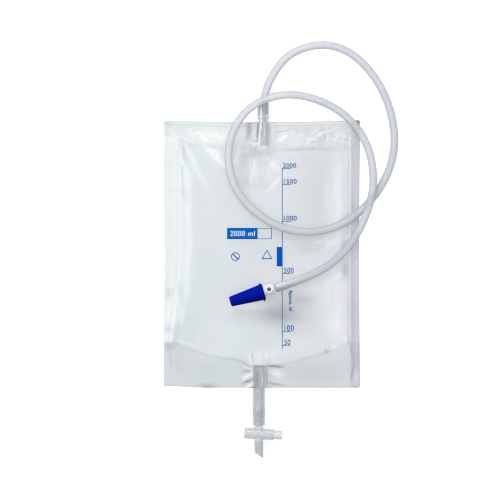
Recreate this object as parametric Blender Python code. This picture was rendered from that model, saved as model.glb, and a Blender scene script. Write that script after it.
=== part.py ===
"""Two litre urine drainage bag with its inlet tube, catheter connector, cap and outlet tap.

Metres, +Z up. The empty bag lies on its back film: X runs across it, Y towards the inlet.
The origin is the centre of the bag's outline, on the underside of the back film.
"""

import math

import bmesh
import bpy
import numpy as np
from mathutils import Matrix

MM = 0.001
GAP = 0.3 * MM  # between meshes that touch in the real bag
RUNNING = 0.1 * MM  # radial clearance of the sliding plunger

# Bag: two PVC films welded round a chamber
BAG_WIDTH = 200 * MM
BAG_HEIGHT = 272 * MM
CORNER_RADIUS = 3 * MM
FILM = 0.3 * MM
LEFT_WELD_TOP = 16 * MM
LEFT_WELD_BOTTOM = 10 * MM
RIGHT_WELD = 12.4 * MM
TOP_WELD = 27 * MM
SKIRT_AT_SIDES = 46 * MM  # film below the chamber, at its lower corners
SKIRT_AT_OUTLET = 22.5 * MM  # and in the middle, where the chamber drains
DRAIN_CURVE = 1.35  # 1 makes the chamber's foot a straight V, 2 a bowl
CHAMBER_RISE = 3.4 * MM  # the air left between the films lifts the front one
SHOULDER = 25 * MM  # from a weld to the flat middle of the chamber
TENT_HALF_WIDTH = 14 * MM  # film stretched over a port or tube comes down this far beside it
TENT_FADE = 24 * MM  # and runs out this far past its end
MIDDLE_ROW = 50 * MM  # between the film's rows of faces across its flat middle

# Inlet port: one moulding, its stub between the films and its socket above them
INLET_X = 1.95 * MM
INLET_AXIS_Z = 5.9 * MM
STUB_RADIUS = 4.6 * MM
STUB_DEPTH = 25 * MM  # below the top edge of the bag
SOCKET_STANDOFF = 2 * MM
SOCKET_WALL = 1.25 * MM
SOCKET_LENGTH = 17 * MM
SOCKET_DEPTH = 12 * MM
LUMEN_RADIUS = 2.75 * MM

# Non-return valve: two soft flaps hanging from the stub
VALVE_WIDTH = 20.5 * MM
VALVE_LENGTH = 50 * MM
VALVE_OFFSET = -2.5 * MM
VALVE_OVERLAP = 7 * MM  # flap that lies over the stub
FLAP = 0.25 * MM
FLAP_FADE = 16 * MM

# Inlet tube, its route in millimetres from the socket to the connector
TUBE_RADIUS = 3.75 * MM
TUBE_FLARE = 1.17  # where the tube is pushed over the connector
FLARE_LENGTH = 25 * MM
TUBE_SPACING = 15 * MM
ROUTE_MM = [
    (1.95, 143.3, 5.9), (1.95, 149, 5.9), (2.0, 155, 5.9), (3.4, 163, 5.6), (7.2, 174.8, 4.7),
    (14.6, 188.3, 3.95), (25, 200.8, 3.85), (40.5, 209.8, 3.85), (62, 213.9, 3.85),
    (83, 209.6, 3.85), (104, 194.6, 3.85), (122.5, 169.2, 3.85), (133.2, 139.5, 3.85),
    (135.5, 110, 3.85), (127.2, 79, 3.85), (111.6, 55.1, 4.3), (91.9, 36.8, 6.2),
    (70, 26, 8.6), (46, 22.7, 8.85), (19, 27.7, 8.85), (-8.5, 45.0, 8.85), (-27.5, 69.5, 8.9),
    (-34, 96, 9.2), (-28.5, 126.4, 11.3), (-12.5, 148.2, 14.6), (6, 158.4, 15.3),
    (29, 162.5, 12.5), (52, 159.0, 8.0), (74, 149.6, 5.6), (94, 133, 5.1), (107.3, 112, 5.5),
    (113.2, 88, 8.9), (112.8, 64, 12.2), (104.1, 35, 11.9), (90, 9.6, 9.5), (67.5, -12, 8.9),
    (42, -25.1, 11.1), (25.5, -31.15, 13.5),
]

# Catheter connector with its sample port, and the cap pushed on its nozzle
CONNECTOR_X = 0.3 * MM  # centre of the cap's open end
CONNECTOR_Y = -38.75 * MM
CONNECTOR_TURN = math.radians(16.8)
CAP_LENGTH = 33.6 * MM
CAP_TIP_RADIUS = 4.7 * MM
CAP_MOUTH_RADIUS = 7.8 * MM
CAP_WALL = 1.0 * MM
CAP_RIM_RADIUS = 9.4 * MM
CAP_RIM = 1.6 * MM
CAP_EDGE = 0.9 * MM
NOZZLE_LENGTH = 29 * MM
NOZZLE_TIP_RADIUS = 2.6 * MM
NOZZLE_ROOT_RADIUS = 4.6 * MM
NOZZLE_STEPS = 3
NOZZLE_STEP = 0.45 * MM
NOZZLE_BORE = 1.75 * MM
PLUG_LENGTH = 3 * MM  # shoulder that grips the cap's mouth
BLOCK_RADIUS = 6.75 * MM
BLOCK_LENGTH = 12.3 * MM
BLOCK_EDGE = 0.8 * MM
FLANGE_RADIUS = 7.1 * MM
FLANGE = 1.8 * MM
SAMPLE_PORT_S = 7.6 * MM  # along the connector from the cap's open end
SAMPLE_PORT_ROLL = math.radians(8)
SAMPLE_BOSS_RADIUS = 3.7 * MM
SAMPLE_BOSS_RISE = 0.5 * MM
SEPTUM_RADIUS = 1.95 * MM
SEPTUM_DEPTH = 3 * MM
SEPTUM_SINK = 0.3 * MM
SAMPLE_BORE = 1.0 * MM

# Outlet tube and push-pull tap
OUTLET_X = -2.9 * MM
OUTLET_RADIUS = 5.9 * MM
OUTLET_WALL = 1.9 * MM
OUTLET_LENGTH = 60.8 * MM
OUTLET_IN_SKIRT = 22.3 * MM  # how far it reaches up from the bag's lower edge
SPIGOT_RADIUS = 3.6 * MM
SPIGOT_LENGTH = 16.5 * MM
BARB = 0.5 * MM
BARB_FROM_END = 14 * MM  # above the tube's lower end
BARB_WIDTH = 5 * MM
NECK_RADIUS = 4.15 * MM
NECK_LENGTH = 10.2 * MM  # from the tube's end to the barrel's axis
BARREL_RADIUS = 5.3 * MM
BARREL_LENGTH = 29.7 * MM
BARREL_SKEW = math.radians(-3.5)
BARREL_EDGE = 0.5 * MM
SPOUT_SHORT = 18.9 * MM  # from the barrel's axis to the cut's near and far corners
SPOUT_LONG = 23.7 * MM
PLUNGER_RADIUS = 4.25 * MM
PLUNGER_TRAVEL = 8.9 * MM
PLUNGER_EDGE = 0.4 * MM
WAIST_RADIUS = 2.2 * MM
WAIST_LENGTH = 7 * MM
SEAL_SPACING = 9 * MM
SEAL_THICKNESS = 1.1 * MM

# Print on the front film
PRINT = 0.1 * MM
LINE_WIDTH = 1.0 * MM
TICK_WIDTH = 0.8 * MM
TICK_LENGTH = 9.2 * MM
SCALE_X = 21.2 * MM
SCALE_FOOT_Y = -97.8 * MM
TICK_Y = (87.5 * MM, 71.3 * MM, 33.4 * MM, -19.4 * MM, -79.3 * MM, -93.7 * MM)
BAR_WIDTH = 5.5 * MM
BAR_SPAN_Y = (-12.5 * MM, 7.3 * MM)
PANEL_LOW = (-35.4 * MM, 15.8 * MM)
PANEL_SIZE = (45.8 * MM, 11.5 * MM)
PANEL_FILLED = 31.1 * MM
RING_CENTRE = (-26.9 * MM, -2.5 * MM)
RING_RADIUS = 4.4 * MM
TRIANGLE_CENTRE = (5.3 * MM, -1.8 * MM)
TRIANGLE_RADIUS = 6.4 * MM
STROKE = 1.0 * MM
DRAPE_STEP = 8 * MM  # longest flat run of the print on the film

# Places that follow from the sizes above
MARGIN_TOP = 2 * FILM + GAP
PLATEAU_TOP = MARGIN_TOP + CHAMBER_RISE
BAG_TOP_Y = BAG_HEIGHT / 2
CHAMBER_RIGHT = BAG_WIDTH / 2 - RIGHT_WELD
CHAMBER_TOP = BAG_TOP_Y - TOP_WELD
STUB_END_Y = BAG_TOP_Y - STUB_DEPTH
SOCKET_BORE = TUBE_RADIUS + GAP
OUTLET_TOP_Y = -BAG_TOP_Y + OUTLET_IN_SKIRT
OUTLET_FOOT_Y = OUTLET_TOP_Y - OUTLET_LENGTH
OUTLET_AXIS_Z = FILM + GAP + OUTLET_RADIUS
BARREL_Y = OUTLET_FOOT_Y - NECK_LENGTH
CONNECTOR_Z = PLATEAU_TOP + GAP + CAP_RIM_RADIUS
BLOCK_START = GAP
FLANGE_END = BLOCK_START + BLOCK_LENGTH + FLANGE
TENT_OVER_STUB = STUB_RADIUS + FLAP + 2.5 * GAP
TENT_OVER_OUTLET = OUTLET_RADIUS + 2 * GAP

for old in list(bpy.data.objects):
    bpy.data.objects.remove(old, do_unlink=True)


def plastic(name, colour, roughness, alpha=1.0):
    material = bpy.data.materials.new(name)
    material.use_nodes = True
    shader = material.node_tree.nodes["Principled BSDF"]
    shader.inputs["Base Color"].default_value = (*colour, 1.0)
    shader.inputs["Roughness"].default_value = roughness
    shader.inputs["Metallic"].default_value = 0.0
    shader.inputs["Alpha"].default_value = alpha
    material.diffuse_color = (*colour, alpha)
    return material


def add_object(name, bm, material, smooth_angle=None):
    """Turn a finished bmesh into a named object, shaded smooth below smooth_angle."""
    bmesh.ops.recalc_face_normals(bm, faces=bm.faces)
    mesh = bpy.data.meshes.new(name)
    bm.to_mesh(mesh)
    bm.free()
    if smooth_angle is not None:
        mesh.shade_smooth()
        mesh.set_sharp_from_angle(angle=smooth_angle)
    obj = bpy.data.objects.new(name, mesh)
    obj.data.materials.append(material)
    bpy.context.scene.collection.objects.link(obj)
    return obj


def turned(name, profile, material, sides=24, closed=False):
    """Spin a profile of (distance along X, radius) points about the X axis."""
    bm = bmesh.new()
    points = [bm.verts.new((s, r, 0.0)) for s, r in profile]
    edges = [bm.edges.new(pair) for pair in zip(points, points[1:])]
    if closed:
        edges.append(bm.edges.new((points[-1], points[0])))
    bmesh.ops.spin(bm, geom=points + edges, cent=(0, 0, 0), axis=(1, 0, 0), steps=sides, angle=math.tau)
    bmesh.ops.remove_doubles(bm, verts=bm.verts, dist=0.001 * MM)
    return add_object(name, bm, material, smooth_angle=math.radians(35))


def rod(name, start, end, radius, material, sides=24):
    return turned(name, [(start, 0.0), (start, radius), (end, radius), (end, 0.0)], material, sides)


def place(obj, x, y, z, turn):
    obj.location = (x, y, z)
    obj.rotation_euler = (0.0, 0.0, turn)
    return obj


def combine(obj, tool, operation):
    """Join or cut obj with a tool object, which stays in the file as a wire guide."""
    boolean = obj.modifiers.new(tool.name, "BOOLEAN")
    boolean.operation = operation
    boolean.solver = "EXACT"
    boolean.object = tool
    tool.hide_render = True
    tool.display_type = "WIRE"


def thick_sheet(name, xs, ys, height, thickness, material, inside=None):
    """A sheet on a grid of x and y: its underside is height(x, y), its top is thickness above.

    xs and ys are arrays of the same shape. inside keeps only the cells whose centre passes.
    """
    zs = height(xs, ys)
    rows, columns = xs.shape
    bm = bmesh.new()
    verts = [[bm.verts.new((xs[j, i], ys[j, i], zs[j, i])) for i in range(columns)] for j in range(rows)]
    for j in range(rows - 1):
        for i in range(columns - 1):
            x_mid = (xs[j, i] + xs[j, i + 1]) / 2
            y_mid = (ys[j, i] + ys[j + 1, i]) / 2
            if inside is None or inside(x_mid, y_mid):
                bm.faces.new((verts[j][i], verts[j][i + 1], verts[j + 1][i + 1], verts[j + 1][i]))
    bmesh.ops.delete(bm, geom=[v for v in bm.verts if not v.link_faces], context="VERTS")
    bmesh.ops.triangulate(bm, faces=bm.faces)
    top = bmesh.ops.extrude_face_region(bm, geom=bm.faces)["geom"]
    lifted = [v for v in top if isinstance(v, bmesh.types.BMVert)]
    bmesh.ops.translate(bm, verts=lifted, vec=(0, 0, thickness))
    return add_object(name, bm, material)


def tent(across, axis_z, radius, ground_z, half_width):
    """Height of a film drawn over a cylinder and down to ground_z at half_width beside it.

    The film follows the cylinder's crown, then leaves it along a tangent.
    """
    rise = axis_z - ground_z
    lean = math.asin(radius / math.hypot(half_width, rise)) + math.atan2(rise, half_width)
    across = np.abs(across)
    crown = axis_z + np.sqrt(np.maximum(radius**2 - across**2, 0))
    slope = axis_z + (radius - math.sin(lean) * across) / math.cos(lean)
    return np.where(across < radius * math.sin(lean), crown, slope)


def ease(distance, length):
    """A quarter sine: 0 at distance 0, flat at 1 from length on."""
    return np.sin(np.pi / 2 * np.clip(distance / length, 0, 1))


def chamber_left(y):
    share = (y + BAG_TOP_Y) / BAG_HEIGHT
    return -BAG_WIDTH / 2 + LEFT_WELD_BOTTOM + (LEFT_WELD_TOP - LEFT_WELD_BOTTOM) * share


def chamber_foot(x):
    """The lower weld falls from both sides to the outlet."""
    reach = np.where(x < OUTLET_X, OUTLET_X - chamber_left(-BAG_TOP_Y), CHAMBER_RIGHT - OUTLET_X)
    share = np.clip(np.abs(x - OUTLET_X) / reach, 0, 1) ** DRAIN_CURVE
    return -BAG_TOP_Y + SKIRT_AT_OUTLET + (SKIRT_AT_SIDES - SKIRT_AT_OUTLET) * share


def front_underside(x, y):
    """Underside of the front film: flat welds, a shallow cushion, and tents over port and tube."""
    ground = FILM + GAP
    cushion = ease(x - chamber_left(y), SHOULDER) * ease(CHAMBER_RIGHT - x, SHOULDER)
    cushion = cushion * ease(CHAMBER_TOP - y, SHOULDER) * ease(y - chamber_foot(x), SHOULDER)
    level = ground + CHAMBER_RISE * cushion
    over_stub = tent(x - INLET_X, INLET_AXIS_Z, TENT_OVER_STUB, ground, TENT_HALF_WIDTH) - ground
    over_stub = over_stub * ease(y - (STUB_END_Y - TENT_FADE), TENT_FADE)
    over_tube = tent(x - OUTLET_X, OUTLET_AXIS_Z, TENT_OVER_OUTLET, ground, TENT_HALF_WIDTH) - ground
    over_tube = over_tube * ease(OUTLET_TOP_Y + TENT_FADE - y, TENT_FADE)
    return np.maximum(level, ground + np.maximum(over_stub, over_tube))


def film_grid():
    """Grid lines of the front film: they follow the welds, the port and the outlet tube."""
    shoulder = np.array([0, 3, 7, 13]) * MM
    beside_tube = np.array([0, 2.6, 4.6, 6.4, 9.5]) * MM
    beside_tube = np.append(beside_tube, TENT_HALF_WIDTH)
    plain = np.linspace(-BAG_TOP_Y, BAG_TOP_Y, 21)
    rows_left = chamber_left(plain)
    middle = OUTLET_X + (INLET_X - OUTLET_X) * (plain + BAG_TOP_Y) / BAG_HEIGHT
    columns = [np.full_like(plain, -BAG_WIDTH / 2)]
    columns += [rows_left + step for step in (*shoulder, SHOULDER)]
    columns += [middle - 2.5 * TENT_HALF_WIDTH]
    columns += [middle + step for step in (*-beside_tube[:0:-1], *beside_tube)]
    columns += [middle + 2.5 * TENT_HALF_WIDTH]
    columns += [np.full_like(plain, CHAMBER_RIGHT) - step for step in (SHOULDER, *shoulder[::-1])]
    columns += [np.full_like(plain, BAG_WIDTH / 2)]
    xs = np.stack(columns, axis=1)
    foot = chamber_foot(xs[0])
    skirt = [-BAG_TOP_Y + (foot + BAG_TOP_Y) * share for share in (0, 0.33, 0.67)]
    low = [foot + step for step in (*shoulder, SHOULDER)]
    middle_rows = [np.full_like(foot, MIDDLE_ROW * row) for row in (-1, 0, 1)]
    head = [np.full_like(foot, CHAMBER_TOP - step) for step in (SHOULDER, *shoulder[::-1])]
    weld = [np.full_like(foot, CHAMBER_TOP + TOP_WELD * share) for share in (0.17, 0.42, 0.7, 1)]
    rows = skirt + low + middle_rows + head + weld
    ys = np.stack(rows, axis=0)
    level = (np.linspace(0, 1, len(rows)) * (len(plain) - 1)).round().astype(int)
    xs = xs[level]
    pull = CORNER_RADIUS * (1 - math.sqrt(0.5))
    for j in (0, -1):
        for i in (0, -1):
            xs[j, i] -= math.copysign(pull, xs[j, i])
            ys[j, i] -= math.copysign(pull, ys[j, i])
    return xs, ys


def back_film(material):
    """Flat film, its corners rounded."""
    bm = bmesh.new()
    outline = []
    for x_side, y_side, start in ((1, 1, 0), (-1, 1, 90), (-1, -1, 180), (1, -1, 270)):
        for step in range(4):
            angle = math.radians(start + 30 * step)
            x = x_side * (BAG_WIDTH / 2 - CORNER_RADIUS) + CORNER_RADIUS * math.cos(angle)
            y = y_side * (BAG_HEIGHT / 2 - CORNER_RADIUS) + CORNER_RADIUS * math.sin(angle)
            outline.append(bm.verts.new((x, y, 0.0)))
    face = bm.faces.new(outline)
    lifted = bmesh.ops.extrude_face_region(bm, geom=[face])["geom"]
    verts = [v for v in lifted if isinstance(v, bmesh.types.BMVert)]
    bmesh.ops.translate(bm, verts=verts, vec=(0, 0, FILM))
    add_object("back_film", bm, material)


def front_film(material):
    xs, ys = film_grid()
    thick_sheet("front_film", xs, ys, front_underside, FILM, material)


def check_valve(material):
    """Two flaps over the stub's end: the back one lies flat, the front one arches over the stub."""
    offsets = np.array([-1, -0.72, -0.52, -0.3, -0.08, 0.12, 0.34, 0.5, 0.64, 0.78, 1.0])
    across = INLET_X + VALVE_OFFSET + offsets * VALVE_WIDTH / 2
    top = STUB_END_Y + VALVE_OVERLAP
    down = np.array([0, 3.5, 7, 10, 14, 18, 23]) * MM
    along = top - np.append(down, VALVE_LENGTH)
    xs, ys = np.meshgrid(across, along)
    back_z = FILM + GAP
    rest_z = back_z + FLAP + GAP
    half = VALVE_WIDTH / 2 + VALVE_OFFSET

    def arched(x, y):
        over = tent(x - INLET_X, INLET_AXIS_Z, STUB_RADIUS + 1.5 * GAP, rest_z, half) - rest_z
        over = over * ease(y - (STUB_END_Y - FLAP_FADE), FLAP_FADE)
        return rest_z + np.maximum(over, 0)

    def flat(x, y):
        return np.full_like(x, back_z)

    corners = np.meshgrid(across[[0, -1]], along[[0, -1]])
    thick_sheet("check_valve_back", *corners, flat, FLAP, material)
    thick_sheet("check_valve_front", xs, ys, arched, FLAP, material)


def inlet_port(material):
    foot = STUB_END_Y
    shoulder = BAG_TOP_Y + SOCKET_STANDOFF
    mouth = shoulder + SOCKET_LENGTH
    floor = mouth - SOCKET_DEPTH
    radius = SOCKET_BORE + SOCKET_WALL
    profile = [
        (foot, LUMEN_RADIUS), (foot, STUB_RADIUS), (shoulder, STUB_RADIUS), (shoulder, radius),
        (mouth, radius), (mouth, SOCKET_BORE), (floor, SOCKET_BORE), (floor, LUMEN_RADIUS),
    ]
    port = turned("inlet_port", profile, material, closed=True)
    place(port, INLET_X, 0, INLET_AXIS_Z, math.pi / 2)


def spline_through(points, spacing):
    """Points at an even spacing on the natural cubic spline through the given ones."""
    points = np.array(points)
    knots = np.insert(np.cumsum(np.linalg.norm(np.diff(points, axis=0), axis=1)), 0, 0)
    h = np.diff(knots)[:, None]
    slopes = np.diff(points, axis=0) / h
    matrix = np.eye(len(points))
    bend = np.zeros_like(points)
    for k in range(1, len(points) - 1):
        matrix[k, k - 1:k + 2] = (h[k - 1, 0], 2 * (h[k - 1, 0] + h[k, 0]), h[k, 0])
        bend[k] = 6 * (slopes[k] - slopes[k - 1])
    bend = np.linalg.solve(matrix, bend)

    def at(length):
        k = np.clip(np.searchsorted(knots, length) - 1, 0, len(h) - 1)
        left, right = (length - knots[k])[:, None], (knots[k + 1] - length)[:, None]
        curved = (bend[k] * right**3 + bend[k + 1] * left**3) / (6 * h[k])
        straight = (points[k] / h[k] - bend[k] * h[k] / 6) * right
        return curved + straight + (points[k + 1] / h[k] - bend[k + 1] * h[k] / 6) * left

    fine = at(np.linspace(0, knots[-1], 4000))
    travelled = np.insert(np.cumsum(np.linalg.norm(np.diff(fine, axis=0), axis=1)), 0, 0)
    count = round(travelled[-1] / spacing) + 1
    wanted = np.linspace(0, travelled[-1], count)
    return np.stack([np.interp(wanted, travelled, fine[:, axis]) for axis in range(3)], axis=1)


def connector_point(along):
    """A point on the connector's axis, along from the cap's open end towards the tube."""
    return (
        CONNECTOR_X + along * math.cos(CONNECTOR_TURN),
        CONNECTOR_Y + along * math.sin(CONNECTOR_TURN),
        CONNECTOR_Z,
    )


def inlet_tube(material):
    route = [tuple(v * MM for v in point) for point in ROUTE_MM]
    route.append(connector_point(FLANGE_END + GAP))
    line = spline_through(route, TUBE_SPACING)
    curve = bpy.data.curves.new("inlet_tube", "CURVE")
    curve.dimensions = "3D"
    curve.bevel_depth = TUBE_RADIUS
    curve.bevel_resolution = 3
    curve.use_fill_caps = True
    spline = curve.splines.new("POLY")
    spline.points.add(len(line) - 1)
    to_end = np.linalg.norm(line - line[-1], axis=1)
    for point, centre, left in zip(spline.points, line, to_end):
        point.co = (*centre, 1.0)
        point.radius = 1 + (TUBE_FLARE - 1) * max(0.0, 1 - left / FLARE_LENGTH)
    curve.materials.append(material)
    bpy.context.scene.collection.objects.link(bpy.data.objects.new("inlet_tube", curve))


def nozzle_outline():
    """Stepped taper of the nozzle: each step swells to a barb and drops back."""
    points = []
    start = -NOZZLE_LENGTH
    step = (NOZZLE_LENGTH - PLUG_LENGTH) / NOZZLE_STEPS
    swell = (NOZZLE_ROOT_RADIUS - NOZZLE_TIP_RADIUS) / NOZZLE_STEPS
    for k in range(NOZZLE_STEPS):
        radius = NOZZLE_TIP_RADIUS + k * swell
        points.append((start + k * step, radius))
        points.append((start + (k + 0.85) * step, radius + swell + NOZZLE_STEP))
        points.append((start + (k + 1) * step, radius + swell))
    return points


def catheter_connector(material):
    """One moulding: stepped nozzle, plug for the cap, block with the sample port, flange."""
    plug = CAP_MOUTH_RADIUS - CAP_WALL - GAP
    taper = (CAP_MOUTH_RADIUS - CAP_TIP_RADIUS) / CAP_LENGTH
    block_end = BLOCK_START + BLOCK_LENGTH
    profile = [(-NOZZLE_LENGTH, NOZZLE_BORE)] + nozzle_outline()
    profile += [
        (-PLUG_LENGTH, plug - taper * PLUG_LENGTH - BLOCK_EDGE / 2), (0.0, plug - BLOCK_EDGE / 2),
        (BLOCK_START, plug - BLOCK_EDGE / 2), (BLOCK_START, BLOCK_RADIUS - BLOCK_EDGE),
        (BLOCK_START + BLOCK_EDGE, BLOCK_RADIUS), (block_end, BLOCK_RADIUS),
        (block_end, FLANGE_RADIUS), (FLANGE_END, FLANGE_RADIUS), (FLANGE_END, NOZZLE_BORE),
    ]
    body = turned("catheter_connector", profile, material, closed=True)
    place(body, *connector_point(0), CONNECTOR_TURN)
    crown = BLOCK_RADIUS + SAMPLE_BOSS_RISE
    seat = crown - SEPTUM_SINK - SEPTUM_DEPTH - GAP
    for name, radius, low, high, operation in (
        ("sample_boss", SAMPLE_BOSS_RADIUS, BLOCK_RADIUS / 2, crown, "UNION"),
        ("septum_seat", SEPTUM_RADIUS + GAP, seat, crown + MM, "DIFFERENCE"),
        ("sample_passage", SAMPLE_BORE, 0.0, crown, "DIFFERENCE"),
    ):
        tool = rod(name, low, high, radius, material, sides=18)
        sample_port_axis(tool)
        combine(body, tool, operation)


def sample_port_axis(obj):
    """Stand a turned piece on the block, its X axis along the sample port."""
    upright = Matrix.Rotation(-math.pi / 2, 4, "Y")
    roll = Matrix.Rotation(-SAMPLE_PORT_ROLL, 4, "X")
    turn = Matrix.Rotation(CONNECTOR_TURN, 4, "Z")
    obj.matrix_world = Matrix.Translation(connector_point(SAMPLE_PORT_S)) @ turn @ roll @ upright


def sampling_septum(material):
    top = BLOCK_RADIUS + SAMPLE_BOSS_RISE - SEPTUM_SINK
    sample_port_axis(rod("sampling_septum", top - SEPTUM_DEPTH, top, SEPTUM_RADIUS, material, sides=20))


def protective_cap(material):
    """Tapered cup, closed at its tip, with a thin rim round the open end."""
    tip = -CAP_LENGTH
    profile = [
        (tip, 0.0), (tip, CAP_TIP_RADIUS - CAP_EDGE), (tip + CAP_EDGE, CAP_TIP_RADIUS),
        (-CAP_RIM, CAP_MOUTH_RADIUS), (-CAP_RIM, CAP_RIM_RADIUS), (0.0, CAP_RIM_RADIUS),
        (0.0, CAP_MOUTH_RADIUS - CAP_WALL), (tip + CAP_WALL, CAP_TIP_RADIUS - CAP_WALL),
        (tip + CAP_WALL, 0.0),
    ]
    place(turned("protective_cap", profile, material, sides=32), *connector_point(0), CONNECTOR_TURN)


def outlet_tube(material):
    """Soft tube, stretched by the barb of the tap's spigot and flared at its foot."""
    bore = OUTLET_RADIUS - OUTLET_WALL
    barb = OUTLET_FOOT_Y + BARB_FROM_END
    outside = [
        (OUTLET_TOP_Y, OUTLET_RADIUS), (barb + BARB_WIDTH, OUTLET_RADIUS), (barb, OUTLET_RADIUS + BARB),
        (barb - BARB_WIDTH, OUTLET_RADIUS), (OUTLET_FOOT_Y + 3 * MM, OUTLET_RADIUS),
        (OUTLET_FOOT_Y, OUTLET_RADIUS + BARB / 2),
    ]
    inside = [
        (OUTLET_FOOT_Y, bore), (barb - BARB_WIDTH, bore), (barb, bore + BARB), (barb + BARB_WIDTH, bore),
        (OUTLET_TOP_Y, bore),
    ]
    tube = turned("outlet_tube", outside + inside, material, closed=True)
    place(tube, OUTLET_X, 0, OUTLET_AXIS_Z, math.pi / 2)


def tap_body(material):
    """Spigot, neck, barrel and slant-cut spout in one moulding, bored both ways."""
    half = BARREL_LENGTH / 2
    barrel = turned("tap_body", [
        (-half, 0.0), (-half, BARREL_RADIUS - BARREL_EDGE), (-half + BARREL_EDGE, BARREL_RADIUS),
        (half - BARREL_EDGE, BARREL_RADIUS), (half, BARREL_RADIUS - BARREL_EDGE), (half, 0.0),
    ], material)
    place(barrel, OUTLET_X, BARREL_Y, OUTLET_AXIS_Z, BARREL_SKEW)
    shoulder = NECK_LENGTH - GAP
    barb = NECK_LENGTH + BARB_FROM_END
    top = NECK_LENGTH + SPIGOT_LENGTH
    stem = turned("tap_stem", [
        (-SPOUT_LONG - MM, 0.0), (-SPOUT_LONG - MM, NECK_RADIUS), (shoulder, NECK_RADIUS),
        (shoulder, SPIGOT_RADIUS), (barb - BARB_WIDTH / 2, SPIGOT_RADIUS), (barb, SPIGOT_RADIUS + BARB),
        (top, SPIGOT_RADIUS - BARB), (top, 0.0),
    ], material)
    slant_cut(stem)
    bore = rod("tap_bore", -half - MM, half + MM, PLUNGER_RADIUS + RUNNING, material, sides=32)
    channel = rod("tap_channel", -SPOUT_LONG - 3 * MM, top + MM, LUMEN_RADIUS, material)
    place(stem, OUTLET_X, BARREL_Y, OUTLET_AXIS_Z, math.pi / 2)
    place(channel, OUTLET_X, BARREL_Y, OUTLET_AXIS_Z, math.pi / 2)
    place(bore, OUTLET_X, BARREL_Y, OUTLET_AXIS_Z, BARREL_SKEW)
    combine(barrel, stem, "UNION")
    combine(barrel, bore, "DIFFERENCE")
    combine(barrel, channel, "DIFFERENCE")


def slant_cut(stem):
    """Cut the spout's end on a slant: SPOUT_SHORT on its left, SPOUT_LONG on its right."""
    middle = -(SPOUT_SHORT + SPOUT_LONG) / 2
    slope = (SPOUT_LONG - SPOUT_SHORT) / (2 * NECK_RADIUS)
    bm = bmesh.new()
    bm.from_mesh(stem.data)
    bmesh.ops.bisect_plane(
        bm, geom=bm.verts[:] + bm.edges[:] + bm.faces[:], dist=0.01 * MM,
        plane_co=(middle, 0, 0), plane_no=(1, -slope, 0), clear_inner=True,
    )
    rim = [edge for edge in bm.edges if edge.is_boundary]
    bmesh.ops.contextual_create(bm, geom=rim)
    bmesh.ops.recalc_face_normals(bm, faces=bm.faces)
    bm.to_mesh(stem.data)
    bm.free()


def seal_places():
    """Along the barrel from the port: either side of it when shut, the third for when it is open."""
    return [SEAL_SPACING * (k - 0.5) for k in range(3)]


def tap_plunger(material):
    """Solid rod with three seal grooves, and a waist that opens the port when pushed in."""
    left = -BARREL_LENGTH / 2
    right = BARREL_LENGTH / 2 + PLUNGER_TRAVEL
    groove_half = SEAL_THICKNESS / 2 + RUNNING
    groove = PLUNGER_RADIUS - SEAL_THICKNESS - RUNNING / 2
    profile = [(left, 0.0), (left, PLUNGER_RADIUS - PLUNGER_EDGE), (left + PLUNGER_EDGE, PLUNGER_RADIUS)]
    first, second, third = seal_places()
    waist = [(second + third - WAIST_LENGTH) / 2, (second + third + WAIST_LENGTH) / 2]
    steps = [(first, groove), (second, groove), (None, WAIST_RADIUS), (third, groove)]
    for centre, radius in steps:
        low, high = waist if centre is None else (centre - groove_half, centre + groove_half)
        profile += [(low, PLUNGER_RADIUS), (low, radius), (high, radius), (high, PLUNGER_RADIUS)]
    profile += [(right - PLUNGER_EDGE, PLUNGER_RADIUS), (right, PLUNGER_RADIUS - PLUNGER_EDGE), (right, 0.0)]
    plunger = turned("tap_plunger", profile, material, sides=32)
    place(plunger, OUTLET_X, BARREL_Y, OUTLET_AXIS_Z, BARREL_SKEW)


def plunger_seals(material):
    small = SEAL_THICKNESS / 2
    middle = PLUNGER_RADIUS + RUNNING / 2 - small
    corners = [math.tau * k / 6 for k in range(6)]
    for k, along in enumerate(seal_places()):
        profile = [(along + small * math.sin(a), middle + small * math.cos(a)) for a in corners]
        seal = turned(f"plunger_seal_{k + 1}", profile, material, sides=32, closed=True)
        place(seal, OUTLET_X, BARREL_Y, OUTLET_AXIS_Z, BARREL_SKEW)


def print_height(x, y):
    return front_underside(x, y) + FILM + GAP


def printed(name, rectangles, material):
    """Ink laid on the film: the union of rectangles (x0, y0, x1, y1), draped in short steps."""
    def stations(values):
        values = sorted(set(values))
        steps = [
            np.linspace(low, high, math.ceil((high - low) / DRAPE_STEP), endpoint=False)
            for low, high in zip(values, values[1:])
        ]
        return np.append(np.concatenate(steps), values[-1])

    def inked(x, y):
        return any(x0 < x < x1 and y0 < y < y1 for x0, y0, x1, y1 in rectangles)

    across = stations([v for r in rectangles for v in (r[0], r[2])])
    along = stations([v for r in rectangles for v in (r[1], r[3])])
    thick_sheet(name, *np.meshgrid(across, along), print_height, PRINT, material, inked)


def print_scale(material):
    """Volume scale: one upright line, a tick at each mark and a short bar beside it."""
    left, right = SCALE_X - LINE_WIDTH / 2, SCALE_X + LINE_WIDTH / 2
    shapes = [(left, SCALE_FOOT_Y, right, max(TICK_Y) + TICK_WIDTH / 2)]
    shapes += [(left, y - TICK_WIDTH / 2, left + TICK_LENGTH, y + TICK_WIDTH / 2) for y in TICK_Y]
    shapes.append((left - BAR_WIDTH, BAR_SPAN_Y[0], right, BAR_SPAN_Y[1]))
    printed("print_scale", shapes, material)


def print_panel(material):
    """A filled field and, beside it, an outlined one."""
    x0, y0 = PANEL_LOW
    x1, y1 = x0 + PANEL_SIZE[0], y0 + PANEL_SIZE[1]
    fill = x0 + PANEL_FILLED
    shapes = [(x0, y0, fill, y1), (fill, y1 - STROKE, x1, y1), (fill, y0, x1, y0 + STROKE)]
    shapes.append((x1 - STROKE, y0, x1, y1))
    printed("print_panel", shapes, material)


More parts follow.
